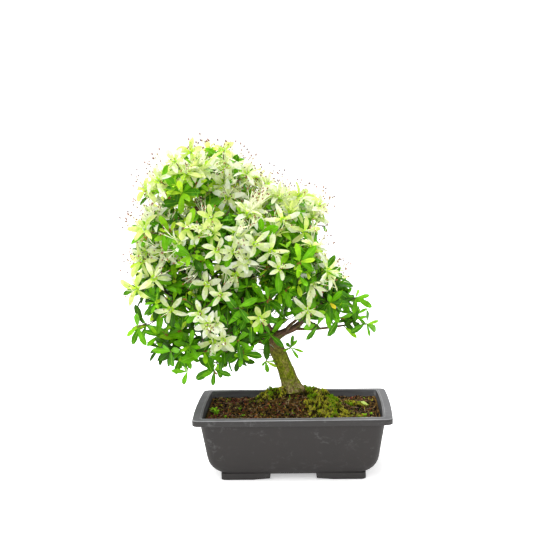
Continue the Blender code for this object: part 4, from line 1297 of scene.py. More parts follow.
class Space:
    """The room of one mass: an ellipsoid, trimmed by planes towards its neighbours."""

    def __init__(self, middle, halves):
        self.middle = Vector(middle)
        self.halves = Vector(halves)
        self.planes = []

    def scaled(self, offset, margin=0.0):
        return Vector([offset[axis] / (self.halves[axis] - margin) for axis in range(3)]).length

    def part_from(self, other):
        """Keep this space on its own side of the plane between two middles."""
        between = other.middle - self.middle
        direction = between.normalized()
        near, far = 1 / self.scaled(direction), 1 / other.scaled(direction)
        if near + far > between.length:
            self.planes.append((direction, between.length * near / (near + far)))

    def fullness(self, point):
        """0 at the middle, 1 at the ellipsoid's surface."""
        return self.scaled(point - self.middle)

    def contains(self, point, margin=0.0):
        offset = point - self.middle
        if self.scaled(offset, margin) > 1:
            return False
        return all(offset.dot(normal) < depth - margin - 0.6 for normal, depth in self.planes)


class LimbField:
    """Distances from places to the bark of the nearest limb."""

    def __init__(self, limbs):
        starts, ends, near, far = [], [], [], []
        for limb in limbs:
            starts += limb.places[:-1]
            ends += limb.places[1:]
            near += limb.radii[:-1]
            far += limb.radii[1:]
        self.starts = np.array(starts)
        self.along = np.array(ends) - self.starts
        self.squares = (self.along ** 2).sum(axis=1)
        self.radii = np.array(near)
        self.taper = np.array(far) - self.radii

    def distance(self, points):
        """Distance from each place to the bark; negative inside it."""
        offset = np.array(points)[:, None, :] - self.starts
        share = np.clip((offset * self.along).sum(axis=2) / self.squares, 0, 1)
        away = np.linalg.norm(offset - share[..., None] * self.along, axis=2)
        return (away - self.radii - share * self.taper).min(axis=1)


class Twigs:
    """A tree of twig joints: place, parent, and the joints that end in a shoot."""

    def __init__(self, base, first_run, stem_radius):
        self.places = [base, base + first_run]
        self.parents = [None, 0]
        self.lengths = [0.0, first_run.length]
        self.shoots = []
        self.stem_radius = stem_radius
        self.tip_radius = TWIG_TIP_RADIUS

    def add(self, place, parent):
        self.places.append(place)
        self.parents.append(parent)
        self.lengths.append(self.lengths[parent] + (place - self.places[parent]).length)
        return len(self.places) - 1

    def drop_last(self):
        for values in (self.places, self.parents, self.lengths):
            values.pop()

    def direction(self, index):
        return (self.places[index] - self.places[self.parents[index]]).normalized()

    def radii(self):
        """Radius at each joint: the pipe rule, from the shoots down, no thicker than the stem."""
        flow = [0] * len(self.places)
        for index in self.shoots:
            step = index
            while step is not None:
                flow[step] += 1
                step = self.parents[step]
        return [min(self.stem_radius, self.tip_radius * max(1, count) ** (1 / PIPE_POWER))
                for count in flow]

    def chains(self, radii):
        """Runs of joints, each leaving a thicker run at its first joint."""
        children = {}
        for index, parent in enumerate(self.parents):
            if parent is not None:
                children.setdefault(parent, []).append(index)
        runs = []
        starts = [(0, None)]
        while starts:
            index, parent = starts.pop()
            run = [index] if parent is None else [parent, index]
            while children.get(index):
                onward = sorted(children[index], key=lambda child: -radii[child])
                starts += [(child, index) for child in onward[1:]]
                index = onward[0]
                run.append(index)
            runs.append(run)
        return runs


class Shoot:
    """The end of a twig: where it is, which way it points and what it carries."""

    def __init__(self, place, axis, flowers, scale=1.0, run=None, tint=0.0):
        self.place = place
        self.axis = axis
        self.flowers = flowers
        self.scale = scale
        self.run = run              # where the bare part of its twig starts
        self.tint = tint            # 0 white to 1 lime, for its flowers
        self.named = False
        # An inner shoot's leaves are darkened as painted shade inside the crown.
        self.inner = False          # deep in its mass, with shaded leaves only
        self.facing = (axis + UP * 0.5).normalized()    # where its leaves' upper sides look


TWIG_TIP_RADIUS = 0.6
TRUNK_SHOOT_RADIUS = 0.9
PIPE_POWER = 2.3
TWIG_BOW = 0.16
STEM_RUN = 9.0
SHOOT_MARGIN = 11.0
INNER_SPACING = 11.0
INNER_DEPTH = 0.75              # inner shoots lie less full than this
OUTLINE_MARGIN = 15.0
RAGGED_BAND = 34.0              # nearer the outline than this the crown has gaps
RAGGED_SIZE = 24.0
SIDE_SHOOT_LENGTH = (8.0, 15.0)
GOLDEN_TURN = math.radians(137.5)

# Blossoms that face the front: pixel column and row, and 1 for a lime one.
FRONT_BLOOMS = [(211, 219, 1), (216, 251, 0), (247, 263, 0), (236, 273, 0), (207, 284, 0),
                (222, 293, 0), (278, 269, 0), (271, 249, 0), (253, 244, 0), (152, 279, 0),
                (228, 198, 0), (282, 218, 0), (297, 198, 1), (325, 270, 0), (223, 337, 0),
                (259, 315, 1), (200, 311, 0), (172, 308, 0), (316, 207, 0), (303, 232, 1),
                (147, 231, 1), (138, 288, 1), (188, 229, 1), (160, 182, 0), (148, 193, 1),
                (192, 154, 1), (224, 153, 1), (176, 163, 0), (247, 176, 0), (266, 188, 0),
                (144, 262, 1), (208, 323, 0), (213, 339, 0), (308, 309, 0)]
FRONT_WHORLS = [(239, 308), (170, 352), (190, 346), (158, 336), (214, 371), (187, 372),
                (238, 341), (268, 300), (300, 322), (330, 303), (356, 298), (367, 324), (340, 318),
                (182, 193), (146, 326), (137, 327), (170, 232), (270, 335), (181, 330),
                (205, 352), (320, 214), (326, 226), (300, 262), (262, 232), (190, 255), (228, 325),
                (318, 327), (345, 327), (312, 316), (326, 312)]
EDGE_BAND = 26.0                # nearer the outline than this a named shoot leans outwards
BLOOM_DEPTHS = (0.9, 1.05, 1.3)  # how full of its mass's space a named tip lies, at best first
RAY_START = 1050                # mm from the camera at which the search for a mass starts
RAY_STEP = 2
RAY_STEPS = 300


def random_direction(rng):
    return Vector([rng.gauss(0, 1) for _ in range(3)]).normalized()


@functools.lru_cache
def make_spaces():
    """The space of every mass, parted from its neighbours."""
    spaces = {name: Space(row[1], row[2]) for name, row in MASSES.items()}
    for name, space in spaces.items():
        for other_name, other in spaces.items():
            if other_name != name:
                space.part_from(other)
    return spaces


def front_tips():
    """The named front shoots, each as a tip in the first mass that its pixel's ray meets."""
    start = (spot(*CAMERA_PLACE) - POT_MIDDLE) / MM
    rows = [(column, row, tint, 1) for column, row, tint in FRONT_BLOOMS]
    rows += [(column, row, 0, 0) for column, row in FRONT_WHORLS]
    tips = {}
    for column, row, tint, flowers in rows:
        ray = image_ray(column, row)
        for depth in BLOOM_DEPTHS:
            name, point = first_inside(start, ray, depth)
            if name:
                tips.setdefault(name, []).append((point, -ray, tint, flowers))
                break
    return tips


def first_inside(start, ray, depth):
    """The first mass that a ray meets to this depth, and where."""
    for step in range(RAY_STEPS):
        point = start + ray * (RAY_START + RAY_STEP * step)
        for name, space in make_spaces().items():
            if space.fullness(point) < depth:
                return name, point
    return None, None


def pick_shoot_tips(space, count, spacing, field, taken, rng, most=2.0):
    """Well-spread places for shoot tips, the outer ones first, after those already taken."""
    low = space.middle - space.halves
    margin = min(SHOOT_MARGIN, 0.35 * min(space.halves))
    candidates = []
    for _ in range(count * 60):
        point = Vector([low[axis] + 2 * space.halves[axis] * rng.random() for axis in range(3)])
        fullness = space.fullness(point)
        if not in_outline(point, RAGGED_BAND) and noise(point / RAGGED_SIZE) < -0.08:
            continue
        if (fullness < most and space.contains(point, margin)
                and in_outline(point, OUTLINE_MARGIN)):
            candidates.append((fullness + 0.35 * rng.random(), point))
    candidates.sort(key=lambda pair: -pair[0])
    points = [point for _, point in candidates]
    clear = field.distance(points) > 5
    tips = list(taken)
    for point, is_clear in zip(points, clear):
        if is_clear and all((point - tip).length > spacing for tip in tips):
            tips.append(point)
        if len(tips) == count:
            break
    return tips[len(taken):]


def twig_is_clear(start, end, space, field):
    """Whether a straight twig stays in its space and off the limbs."""
    points = [start.lerp(end, share) for share in (0.3, 0.55, 0.8, 1.0)]
    if any(space.fullness(point) > 1 for point in points[:-1]):
        return False
    return field.distance(points).min() > 1.0 + TWIG_TIP_RADIUS


def link_tip(twigs, tip, space, field, rng, must=False):
    """Link a shoot tip to the best joint there is and return its joint, or None."""
    joints = np.array(twigs.places[1:])
    reach = np.array(tip) - joints
    lengths = np.linalg.norm(reach, axis=1)
    parents = np.array([twigs.places[parent] for parent in twigs.parents[1:]])
    runs = joints - parents
    runs /= np.linalg.norm(runs, axis=1)[:, None]
    ahead = (reach * runs).sum(axis=1) / np.maximum(lengths, 1e-6)
    costs = lengths + 0.35 * np.array(twigs.lengths[1:])
    allowed = (lengths >= 6) & (ahead >= (-0.6 if must else -0.1))
    allowed[[index - 1 for index in twigs.shoots]] = False
    costs[~allowed] = math.inf
    for choice in np.argsort(costs)[:5]:
        if costs[choice] == math.inf:
            break
        index = int(choice) + 1
        start = twigs.places[index]
        bow = Vector([rng.uniform(-1, 1) for _ in range(3)]) - UP * 0.6
        middle = start.lerp(tip, 0.5) + bow * TWIG_BOW * 0.5 * (tip - start).length
        if not must and not twig_is_clear(start, middle, space, field):
            continue
        joint = twigs.add(middle, index)
        if must or twig_is_clear(middle, tip, space, field):
            shoot = twigs.add(tip, joint)
            twigs.shoots.append(shoot)
            return shoot
        twigs.drop_last()
    return None


# Lime blossom high up and at the left is partly lime flowers, partly a painted glow of light through
# the backlit petals there.
LIME_FROM = (-60, 230)          # further left and higher than this more blossom is lime
LIME_BAND = (130, 140)
LIME_LEAST, LIME_MOST = 0.05, 0.4


def lime_share(place):
    """How likely a blossom is lime: more so high up and at the left."""
    high = (place.z - LIME_FROM[1]) / LIME_BAND[1]
    left = (LIME_FROM[0] - place.x) / LIME_BAND[0]
    return max(LIME_LEAST, min(LIME_MOST, 0.10 + 0.14 * high + 0.14 * left))


def turn_to_front(shoot, to_camera, tint, flowers, rng):
    """Make a shoot a named one: it looks to the front, and outwards too near the outline."""
    at_edge = 0.0 if in_outline(shoot.place, EDGE_BAND) else 1.0
    away = (shoot.place - Vector(CROWN_MIDDLE)).normalized() * at_edge
    shoot.axis = (to_camera + away + 0.35 * random_direction(rng)).normalized()
    shoot.tint, shoot.flowers = tint, flowers
    shoot.facing = (shoot.axis + UP * 0.3).normalized()
    shoot.scale = rng.uniform(1.05, 1.2)
    shoot.named = True


def deal_blossom(shoots, share, rng):
    """Let some of the shoots that aren't named or inner ones flower."""
    for shoot in shoots:
        if shoot.named or shoot.inner or rng.random() >= bloom_chance(shoot.place) * share:
            continue
        shoot.flowers = rng.choice((2, 3, 3) if shoot.place.z > WHITE_FROM else (1, 2, 2))


def grow_mass(name, settings, field, fronts, rng):
    """Twigs and shoots of one mass."""
    bough, _, _, source_count, density = MASSES[name]
    limb = make_limbs()[bough]
    space = make_spaces()[name]
    twigs = Twigs(limb.places[-1] - limb.tip_direction() * 2, limb.tip_direction() * (STEM_RUN + 2),
                  limb.radii[-1])
    fixed = [row[0] for row in fronts]
    count = round(source_count * settings.shoot_factor * density)
    tips = pick_shoot_tips(space, count, settings.shoot_spacing, field, fixed, rng)
    inner_count = round(source_count * settings.inner_factor * density ** 2)
    inner = pick_shoot_tips(space, inner_count, INNER_SPACING, field, fixed + tips, rng,
                            INNER_DEPTH)
    inside = {tuple(point) for point in inner}
    tips += inner
    ends = [(point, None) for point in tips] + [(row[0], key) for key, row in enumerate(fronts)]
    order = sorted(ends, key=lambda pair: (pair[0] - twigs.places[0]).length)
    shoots = []
    for tip, key in order:
        joint = link_tip(twigs, tip, space, field, rng, key is not None)
        if joint is None:
            continue
        outward = (tip - space.middle).normalized()
        axis = (twigs.direction(joint) * 0.5 + outward * 0.9 + UP * 0.25).normalized()
        run = twigs.places[twigs.parents[joint]]
        tint = 1.0 if rng.random() < lime_share(tip) else rng.uniform(0, 0.4)
        shoot = Shoot(tip, axis, 0, rng.uniform(0.88, 1.1), run, tint)
        if key is not None:
            turn_to_front(shoot, *fronts[key][1:], rng)
        shoot.inner = tuple(tip) in inside
        shoots.append(shoot)
    deal_blossom(shoots, settings.bloom_share, rng)
    shoots += side_shoots(twigs, shoots, field, settings, rng)
    return twigs, shoots


CROWN_MIDDLE = (-70, 0, 240)

# Outline of the crown seen from the front: height, and how far it reaches left and right.
OUTLINE = [(97, -113, -89), (106, -127, -83), (115, -135, -71), (123, -155, -49), (131, -158, -30),
           (142, -164, -8), (151, -173, 10), (156, -178, 60), (161, -176, 93), (170, -179, 95),
           (180, -172, 88), (189, -170, 86), (198, -172, 82), (207, -184, 83), (216, -183, 68),
           (225, -181, 62), (234, -182, 57), (244, -176, 54), (253, -175, 42), (262, -175, 37),
           (271, -174, 36), (281, -181, 44), (290, -168, 38), (299, -158, 38), (308, -160, 38),
           (316, -165, 14), (326, -160, -5), (335, -157, -25), (344, -149, -37), (353, -140, -53),
           (361, -124, -63), (368, -110, -74), (376, -96, -84)]
OUTLINE_HEIGHTS, OUTLINE_LEFT, OUTLINE_RIGHT = zip(*OUTLINE)

# Half the crown's depth at some heights: round from the side too.
DEPTH_HEIGHTS = (98, 120, 150, 190, 290, 330, 355, 372, 380)
HALF_DEPTHS = (34, 58, 78, 94, 94, 80, 62, 40, 24)
CROWN_Y = 3.0
AROUND = [(math.cos(math.tau * k / 8), math.sin(math.tau * k / 8)) for k in range(8)]


def in_front_outline(x, z):
    """Whether a place lies inside the crown's outline, seen from the front."""
    if not OUTLINE_HEIGHTS[0] <= z <= OUTLINE_HEIGHTS[-1]:
        return False
    return (np.interp(z, OUTLINE_HEIGHTS, OUTLINE_LEFT) <= x
            <= np.interp(z, OUTLINE_HEIGHTS, OUTLINE_RIGHT))


def in_outline(place, margin):
    """Whether a place lies inside the crown's outlines by a margin, or past them by less."""
    half_depth = np.interp(place.z, DEPTH_HEIGHTS, HALF_DEPTHS)
    if abs(place.y - CROWN_Y) > half_depth - 0.5 * margin:
        return False
    inside = (in_front_outline(place.x + across * margin, place.z + up * margin)
              for across, up in AROUND)
    return all(inside) if margin >= 0 else any(inside)


BLOOM_HEIGHTS = (165, 200, 235, 270, 295, 320)
BLOOM_CHANCES = (0.0, 0.13, 0.28, 0.52, 0.97, 1.0)
BLOOM_LEFT_FROM = -135          # further left than this, and above the height, more shoots flower
BLOOM_LEFT_BAND = 25
BLOOM_LEFT_HEIGHT = 180
BLOOM_LEFT_MORE = 0.45


def bloom_chance(place):
    """How likely a shoot flowers: most at the top, then along the left edge."""
    leftness = max(0.0, min(1.0, (BLOOM_LEFT_FROM - place.x) / BLOOM_LEFT_BAND))
    chance = np.interp(place.z, BLOOM_HEIGHTS, BLOOM_CHANCES)
    return chance + BLOOM_LEFT_MORE * leftness * (place.z > BLOOM_LEFT_HEIGHT)


def side_shoots(twigs, shoots, field, settings, rng):
    """Finer shoots that leave the last run of each twig."""
    made = []
    for joint, shoot in zip(twigs.shoots, shoots):
        if shoot.inner:
            continue
        start, end = twigs.places[twigs.parents[joint]], twigs.places[joint]
        for _ in range(rng.choice(settings.side_counts)):
            root = start.lerp(end, rng.uniform(0.25, 0.8))
            out = random_direction(rng)
            out = (out - twigs.direction(joint) * out.dot(twigs.direction(joint))).normalized()
            direction = (out * 0.8 + twigs.direction(joint) * 0.5 + UP * 0.15).normalized()
            tip = root + direction * rng.uniform(*SIDE_SHOOT_LENGTH)
            if not in_outline(tip, OUTLINE_MARGIN * 0.8) or field.distance([tip])[0] < 4:
                continue
            made.append(Shoot(tip, (direction + UP * 0.2).normalized(), 0,
                              rng.uniform(0.72, 1.0), root))
    return made


@functools.lru_cache
def crown_plan():
    """Every mass's twigs and shoots; the trunk's small shoots are with them."""
    settings = bpy.context.scene.azalea_crown
    rng = random.Random(settings.seed)
    limbs = list(make_limbs().values())
    field = LimbField(limbs)
    fronts = front_tips()
    plan = {}
    for name in MASSES:
        plan[name] = grow_mass(name, settings, field, fronts.get(name, []), rng)
    for name, (scale, points) in TRUNK_SHOOTS.items():
        places = [Vector(point) for point in points]
        twigs = Twigs(places[0], places[1] - places[0], TWIG_TIP_RADIUS)
        for place in places[2:]:
            twigs.add(place, len(twigs.places) - 1)
        twigs.shoots.append(len(twigs.places) - 1)
        axis = (twigs.direction(len(twigs.places) - 1) + UP * 0.2).normalized()
        twigs.tip_radius = TRUNK_SHOOT_RADIUS
        twigs.stem_radius = TRUNK_SHOOT_RADIUS
        tip = Shoot(places[-1], axis, 0, scale, places[-2])
        tip.facing = Vector((0.0, -0.8, 0.6))
        plan[name] = (twigs, [tip])
    return plan


CROWN_PARTS = {
    "upper": ["foliage_top_left", "foliage_apex", "foliage_shoulder", "foliage_left_mid"],
    "middle": ["foliage_front_mid", "foliage_back_mid", "foliage_right_mid", "foliage_right_back",
               "foliage_left_back"],
    "lower": ["foliage_left_low", "foliage_front_low", "foliage_right_low", "foliage_right_front",
              "foliage_left_bottom", "foliage_back_low", "foliage_centre_low",
              "foliage_right_tip", *TRUNK_SHOOTS],
}


# ---------------------------------------------------------------- twigs

def add_twig(batch, places, radii, finish):
    """A tapering twig through places in mm."""
    sides = 5 if radii[0] > 1.0 else 3
    points, faces = tube([spot(*place) for place in places], [radius * MM for radius in radii],
                         sides)
    batch.add(points, faces, finish)


def build_twigs(settings):
    """All twigs of the crown, from the boughs' tips to the shoots."""
    batch = Batch()
    rng = random.Random(settings.seed + 1)
    for twigs, shoots in crown_plan().values():
        radii = twigs.radii()
        for run in twigs.chains(radii):
            places = [twigs.places[index] for index in run]
            thick = [radii[index] for index in run]
            if twigs.parents[run[0]] is not None:
                thick[0] = thick[1]
            path = smooth_path(places, 6.0)
            steps = np.linspace(0, 1, len(run))
            fine = np.interp([done for _, done in path], steps, thick)
            add_twig(batch, [place for place, _ in path], list(fine), rng.choice((0, 0, 1)))
        for shoot in shoots[len(twigs.shoots):]:
            middle = shoot.run.lerp(shoot.place, 0.5) - UP * 0.4
            add_twig(batch, [shoot.run, middle, shoot.place], [0.5, 0.45, 0.4],
                     rng.choice((1, 2)))
    twigs = batch.build("twigs", [twig_material("twig_dark", (0.055, 0.032, 0.020)),
                                  twig_material("twig_brown", (0.115, 0.062, 0.036)),
                                  twig_material("twig_young", (0.150, 0.130, 0.040))])
    settle(twigs, "twig_bark", *MASSES, *TRUNK_SHOOTS)


def twig_material(name, colour):
    finish = Finish(name, colour, 0.75, 0.3)
    finish.colour(finish.ramp(finish.cloud(3, 4), (0.3, shade(colour, 0.55)),
                              (0.7, shade(colour, 1.6))))
    finish.bump((finish.cloud(0.9, 2), 0.15))
    return finish.material


# ---------------------------------------------------------------- leaves

LEAF_STATIONS = (0.16, 0.42, 0.68, 0.89)
LEAF_WIDTHS = (0.38, 0.80, 1.0, 0.66)
RIB_SHARE = 0.060               # half-width of the pale rib as a share of the leaf's half-width


def leaf_faces():
    """Triangles of a leaf and whether each is on the rib: 0 blade, 1 rib."""
    faces = [(0, 1, 4), (0, 4, 3), (0, 3, 2), (1, 5, 4)]
    on_rib = [1, 1, 0, 0]
    for station in range(len(LEAF_STATIONS) - 1):
        a = 2 + 4 * station
        for column, rib in ((0, 0), (1, 1), (2, 0)):
            p, q = a + column, a + column + 1
            faces += [(p, q, q + 4), (p, q + 4, p + 4)]
            on_rib += [rib, rib]
    last = 2 + 4 * (len(LEAF_STATIONS) - 1)
    faces += [(last, last + 1, last + 4), (last + 1, last + 2, last + 4),
              (last + 2, last + 3, last + 4)]
    on_rib += [0, 1, 0]
    return np.array(faces), np.array(on_rib)


LEAF_FACES, LEAF_RIB = leaf_faces()


def add_leaf(batch, root, direction, up, length, width, bend, finish, rib_finish, fold=0.22):
    """One pointed leaf with a rib down its middle, folded up a little along it; sizes in mm."""
    across = direction.cross(up)
    if across.length < 0.05:
        across = direction.orthogonal()
    across.normalize()
    lift = across.cross(direction)
    a, b, c = np.array(across), np.array(direction), np.array(lift)
    start = np.array(root)
    half = width / 2 * MM
    size = length * MM
    rib = half * RIB_SHARE
    points = [start - a * rib, start + a * rib]
    for station, share in zip(LEAF_STATIONS, LEAF_WIDTHS):
        centre = start + b * size * station - c * bend * size * station ** 2
        edge = half * share
        points += [centre - a * edge + c * fold * edge, centre - a * rib, centre + a * rib,
                   centre + a * edge + c * fold * edge]
    points.append(start + b * size - c * bend * size)
    batch.add(points, LEAF_FACES, np.where(LEAF_RIB, rib_finish, finish))


BOX_ALLOWANCE = (7.5, 4.6, 9.0)  # how far leaves and blossom may pass the solids' box


def allowed_box():
    """The room that leaves and blossom may fill: the solids' box and a little more."""
    low, high = (Vector(corner) for corner in CAD_BOX)
    return low - Vector(BOX_ALLOWANCE) * MM, high + Vector(BOX_ALLOWANCE) * MM


def in_room(point, room):
    return all(room[0][axis] <= point[axis] <= room[1][axis] for axis in range(3))


LEAF_KINDS = ("deep", "dark", "mid", "fresh", "young", "rib", "yellow", "dead")
DEEP, DARK, MID, FRESH, YOUNG, RIB, YELLOW, DEAD = range(8)
LEAF_LENGTH = 22.5
LEAF_WIDTH = 7.5
LEAF_OVERREACH = 7.0            # how far a leaf's tip may reach past the crown's outline

# Gaps in the leaves through which the boughs show: pixel column, row and radius.
OPENINGS = [(197, 204, 10), (184, 212, 8), (287, 330, 8), (296, 319, 6), (303, 328, 7),
            (322, 329, 8), (343, 330, 7), (322, 301, 6), (168, 297, 6), (268, 286, 6),
            (240, 303, 6)]
OPENING_DEPTH = 10.0            # how far behind the crown's middle an opening reaches, in mm

BLOOM_CLEAR = 14.0              # pixels round a named blossom, and round a named whorl, that
WHORL_CLEAR = 9.0               # nothing nearer may cover


@functools.lru_cache
def named_shoots():
    """Every named front shoot with its pixel column and row and its distance ahead."""
    return [(shoot, *image_place(spot(*shoot.place)))
            for _, shoots in crown_plan().values() for shoot in shoots if shoot.named]


def hides_named(place, owner):
    """Whether a leaf or flower at a place in mm covers another shoot's named blossom or whorl."""
    x, y, ahead = image_place(spot(*place))
    for shoot, column, row, distance in named_shoots():
        clear = BLOOM_CLEAR if shoot.flowers else WHORL_CLEAR
        if (shoot is not owner or shoot.flowers) and ahead < distance - MM:
            if math.hypot(x - column, y - row) < clear:
                return True
    return False


def in_opening(place, margin=0.0):
    """Whether a place in mm lies in one of the openings, in front of the boughs."""
    if place.y > OPENING_DEPTH:
        return False
    x, y, _ = image_place(spot(*place))
    return any(math.hypot(x - a, y - b) < reach + margin for a, b, reach in OPENINGS)


# Single leaves of another colour, by the pixel nearest to which they show.
ODD_LEAVES = [(339, 305, YELLOW), (196, 182, DEAD), (165, 200, DEAD),
              (266, 343, DARK), (277, 341, DARK), (262, 337, DARK), (272, 345, DARK)]

ODD_REACH = 5                   # pixels from that place within which a leaf's middle may lie

# Leaves of the trunk's short shoots: pixel column and row of the tip, width in mm, colour.
TRUNK_LEAVES = {
    "shoot_right": [(293, 335, 4.6, DARK), (297, 340, 4.2, MID), (304, 352, 3.6, FRESH),
                    (299, 359, 3.8, MID), (286, 343, 5.0, DARK), (283, 351, 3.4, FRESH)],
    "shoot_left": [(268, 373, 5.6, MID), (277, 367, 4.0, YOUNG), (282, 361, 3.2, FRESH),
                   (262, 366, 3.4, MID)],
}


FRESH_HEIGHTS = (150, 230, 300)
FRESH_SHIFTS = (-0.08, 0.03, 0.22)
FRESH_STEPS = (0.12, 0.36, 0.60, 0.80)      # freshness at which deep turns to dark, and so on


def leaf_kind(shoot, age, odd_share, rng):
    """Which kind a leaf is: fresher towards the shoot's end and up the crown."""
    freshness = 0.5 * age + 0.5 * rng.random()
    freshness += np.interp(shoot.place.z, FRESH_HEIGHTS, FRESH_SHIFTS)
    kind = int(np.searchsorted(FRESH_STEPS, freshness))
    # Inner shoots get the deep and dark colours: painted shade inside the crown, less dark above
    # WHITE_FROM.
    if shoot.inner:
        kind = rng.choice((DEEP, DEEP, DARK) if shoot.place.z < WHITE_FROM else (DARK, MID))
    if rng.random() < odd_share:
        kind = rng.choice((YELLOW, YELLOW, DEAD))
    return kind


def plan_leaves(shoots, settings, field, rng):
    """Root, direction, facing, length, width, bend, kind and fold of the leaves on some shoots."""
    leaves = []
    room = allowed_box()
    for shoot in shoots:
        side = shoot.axis.orthogonal().normalized()
        other = shoot.axis.cross(side)
        turn = rng.uniform(0, math.tau)
        count = rng.choice((5, 6, 6, 7)) if shoot.scale > 0.8 else rng.choice((4, 5, 5))
        if shoot.flowers and shoot.place.z > WHITE_FROM:
            count = 3
        run = shoot.place - shoot.run
        along = max(0, min(5, int(run.length / 5.5)))
        for k in range(-along, count):
            angle = turn + GOLDEN_TURN * k
            out = side * math.cos(angle) + other * math.sin(angle)
            if k < 0:
                age, root = 0.0, shoot.place + run * (k / (along + 1)) * 0.85
                lean = math.radians(rng.uniform(50, 85))
            else:
                age = k / (count - 1)
                root = shoot.place - shoot.axis * 3.0 * (1 - age)
                lean = math.radians(86 - 44 * age + rng.uniform(-12, 12))
                if shoot.flowers:
                    lean = max(lean, math.radians(58))
            direction = shoot.axis * math.cos(lean) + out * math.sin(lean)
            direction = (direction + UP * rng.uniform(-0.18, 0.12)).normalized()
            length = LEAF_LENGTH * (1 - 0.35 * age) * shoot.scale * rng.uniform(0.8, 1.1)
            tip = root + direction * length
            if not in_room(spot(*tip), room) or field.distance([tip])[0] < 1.0:
                continue
            if not in_outline(tip, -LEAF_OVERREACH):
                continue
            width = LEAF_WIDTH * length / LEAF_LENGTH * rng.uniform(0.9, 1.15)
            middle = root + direction * length * 0.5
            if in_opening(middle) or hides_named(middle, shoot):
                continue
            kind = leaf_kind(shoot, age, settings.odd_leaf_share, rng)
            leaves.append([root, direction, shoot.facing, length, width, rng.uniform(0.0, 0.28),
                           kind, rng.uniform(0.05, 0.38)])
    return leaves


def plan_trunk_leaves(name, shoot, rng):
    """The leaves of a short shoot off the trunk, each from the shoot's end to its pixel."""
    start = (spot(*CAMERA_PLACE) - POT_MIDDLE) / MM
    leaves = []
    for column, row, width, kind in TRUNK_LEAVES[name]:
        ray = image_ray(column, row)
        tip = start + ray * ((shoot.place.y - rng.uniform(0, 4) - start.y) / ray.y)
        reach = tip - shoot.place
        leaves.append([shoot.place, reach.normalized(), shoot.facing, reach.length, width, 0.08,
                       kind, 0.25])
    return leaves


def add_bud_scales(leaves, shoots, room, rng):
    """Small brown scales where the leaves of a shoot meet."""
    for shoot in shoots:
        if shoot.inner or rng.random() > 0.35 or not in_room(spot(*shoot.place), room):
            continue
        for _ in range(rng.choice((2, 3))):
            direction = (shoot.axis + 1.1 * random_direction(rng)).normalized()
            leaves.append([shoot.place, direction, shoot.facing, rng.uniform(3.5, 6.0),
                           rng.uniform(1.6, 2.4), 0.1, DEAD, 0.3])


def recolour_odd_leaves(groups):
    """Give the front-most leaf near each named pixel its own colour."""
    for column, row, kind in ODD_LEAVES:
        nearest, found = math.inf, None
        for leaves in groups.values():
            for leaf in leaves:
                middle = leaf[0] + leaf[1] * leaf[3] * 0.5
                x, y, ahead = image_place(spot(*middle))
                if math.hypot(x - column, y - row) < ODD_REACH and ahead < nearest:
                    nearest, found = ahead, leaf
        if found:
            found[6] = kind
            if kind in (YELLOW, DEAD):
                found[3] *= 0.6
                found[4] *= 0.8


def build_leaves(settings):
    """All leaves, in one piece for each part of the crown."""
    crown = bpy.context.scene.azalea_crown
    rng = random.Random(crown.seed + 2)
    field = LimbField(list(make_limbs().values()))
    plan = crown_plan()
    groups = {}
    for part, names in CROWN_PARTS.items():
        shoots = [shoot for name in names if name not in TRUNK_LEAVES for shoot in plan[name][1]]
        groups[part] = plan_leaves(shoots, settings, field, rng)
        add_bud_scales(groups[part], shoots, allowed_box(), rng)
    for name in TRUNK_LEAVES:
        groups["lower"] += plan_trunk_leaves(name, plan[name][1][0], rng)
    recolour_odd_leaves(groups)
    materials = [leaf_material("leaf_" + kind, getattr(settings, kind + "_colour"))
                 for kind in LEAF_KINDS]
    for part, leaves in groups.items():
        batch = Batch()
        for root, direction, upper, length, width, bend, kind, fold in leaves:
            rib = {DEEP: DARK, YELLOW: YELLOW, DEAD: DEAD}.get(kind, RIB)
            add_leaf(batch, spot(*root), direction, upper, length, width, bend, kind, rib, fold)
        piece = batch.build("leaves_" + part, materials)
        settle(piece, "foliage", *CROWN_PARTS[part])


def leaf_material(name, colour):
    """A smooth leaf with a waxy gloss that lets some light through."""
    finish = Finish(name, colour, 0.36, 0.09)
    patches = finish.cloud(9, 3)
    finish.colour(finish.ramp(patches, (0.34, shade(colour, 0.62)), (0.66, shade(colour, 1.25))))
    finish.roughness(finish.level(patches, 0.35, 0.65, 0.22, 0.5))
    finish.glow_through(shade(colour, 1.6), 0.27)
    return finish.material


# ---------------------------------------------------------------- blossom

PETAL_LENGTH = 21.8
PETAL_WIDTH = 5.9
PETAL_STATIONS = (0.0, 0.2, 0.43, 0.67, 0.87, 1.0)
PETAL_WIDTHS = (0.30, 0.56, 0.90, 0.97, 0.58, 0.05)
PETAL_OVERREACH = 6.0           # how far petals and stamens may reach past the crown's outline
STAMEN_OVERREACH = 18.0
PETALS = 5
FLOWER_REACH = 12               # pixels that a flower keeps clear of an opening
WHITE_FROM = 275.0              # height from which most flowers are white
STAMENS = (2, 3, 3, 4)
STAMEN_LENGTH = 30.0
STAMEN_RADIUS = 0.30
PETAL_KINDS = ("white", "cream", "lime", "throat", "pale_heart", "lime_heart")
WHITE, CREAM, LIME, THROAT, PALE_HEART, LIME_HEART = range(6)
FILAMENT, ANTHER, ANTHER_DARK, STALK = range(4)
ANTHER_DARK_COLOUR = (0.10, 0.04, 0.03)
STALK_COLOUR = (0.24, 0.42, 0.08)
GRAIN_HALVES = Vector((0.9, 0.9, 1.6))      # half-sizes of an anther's grain


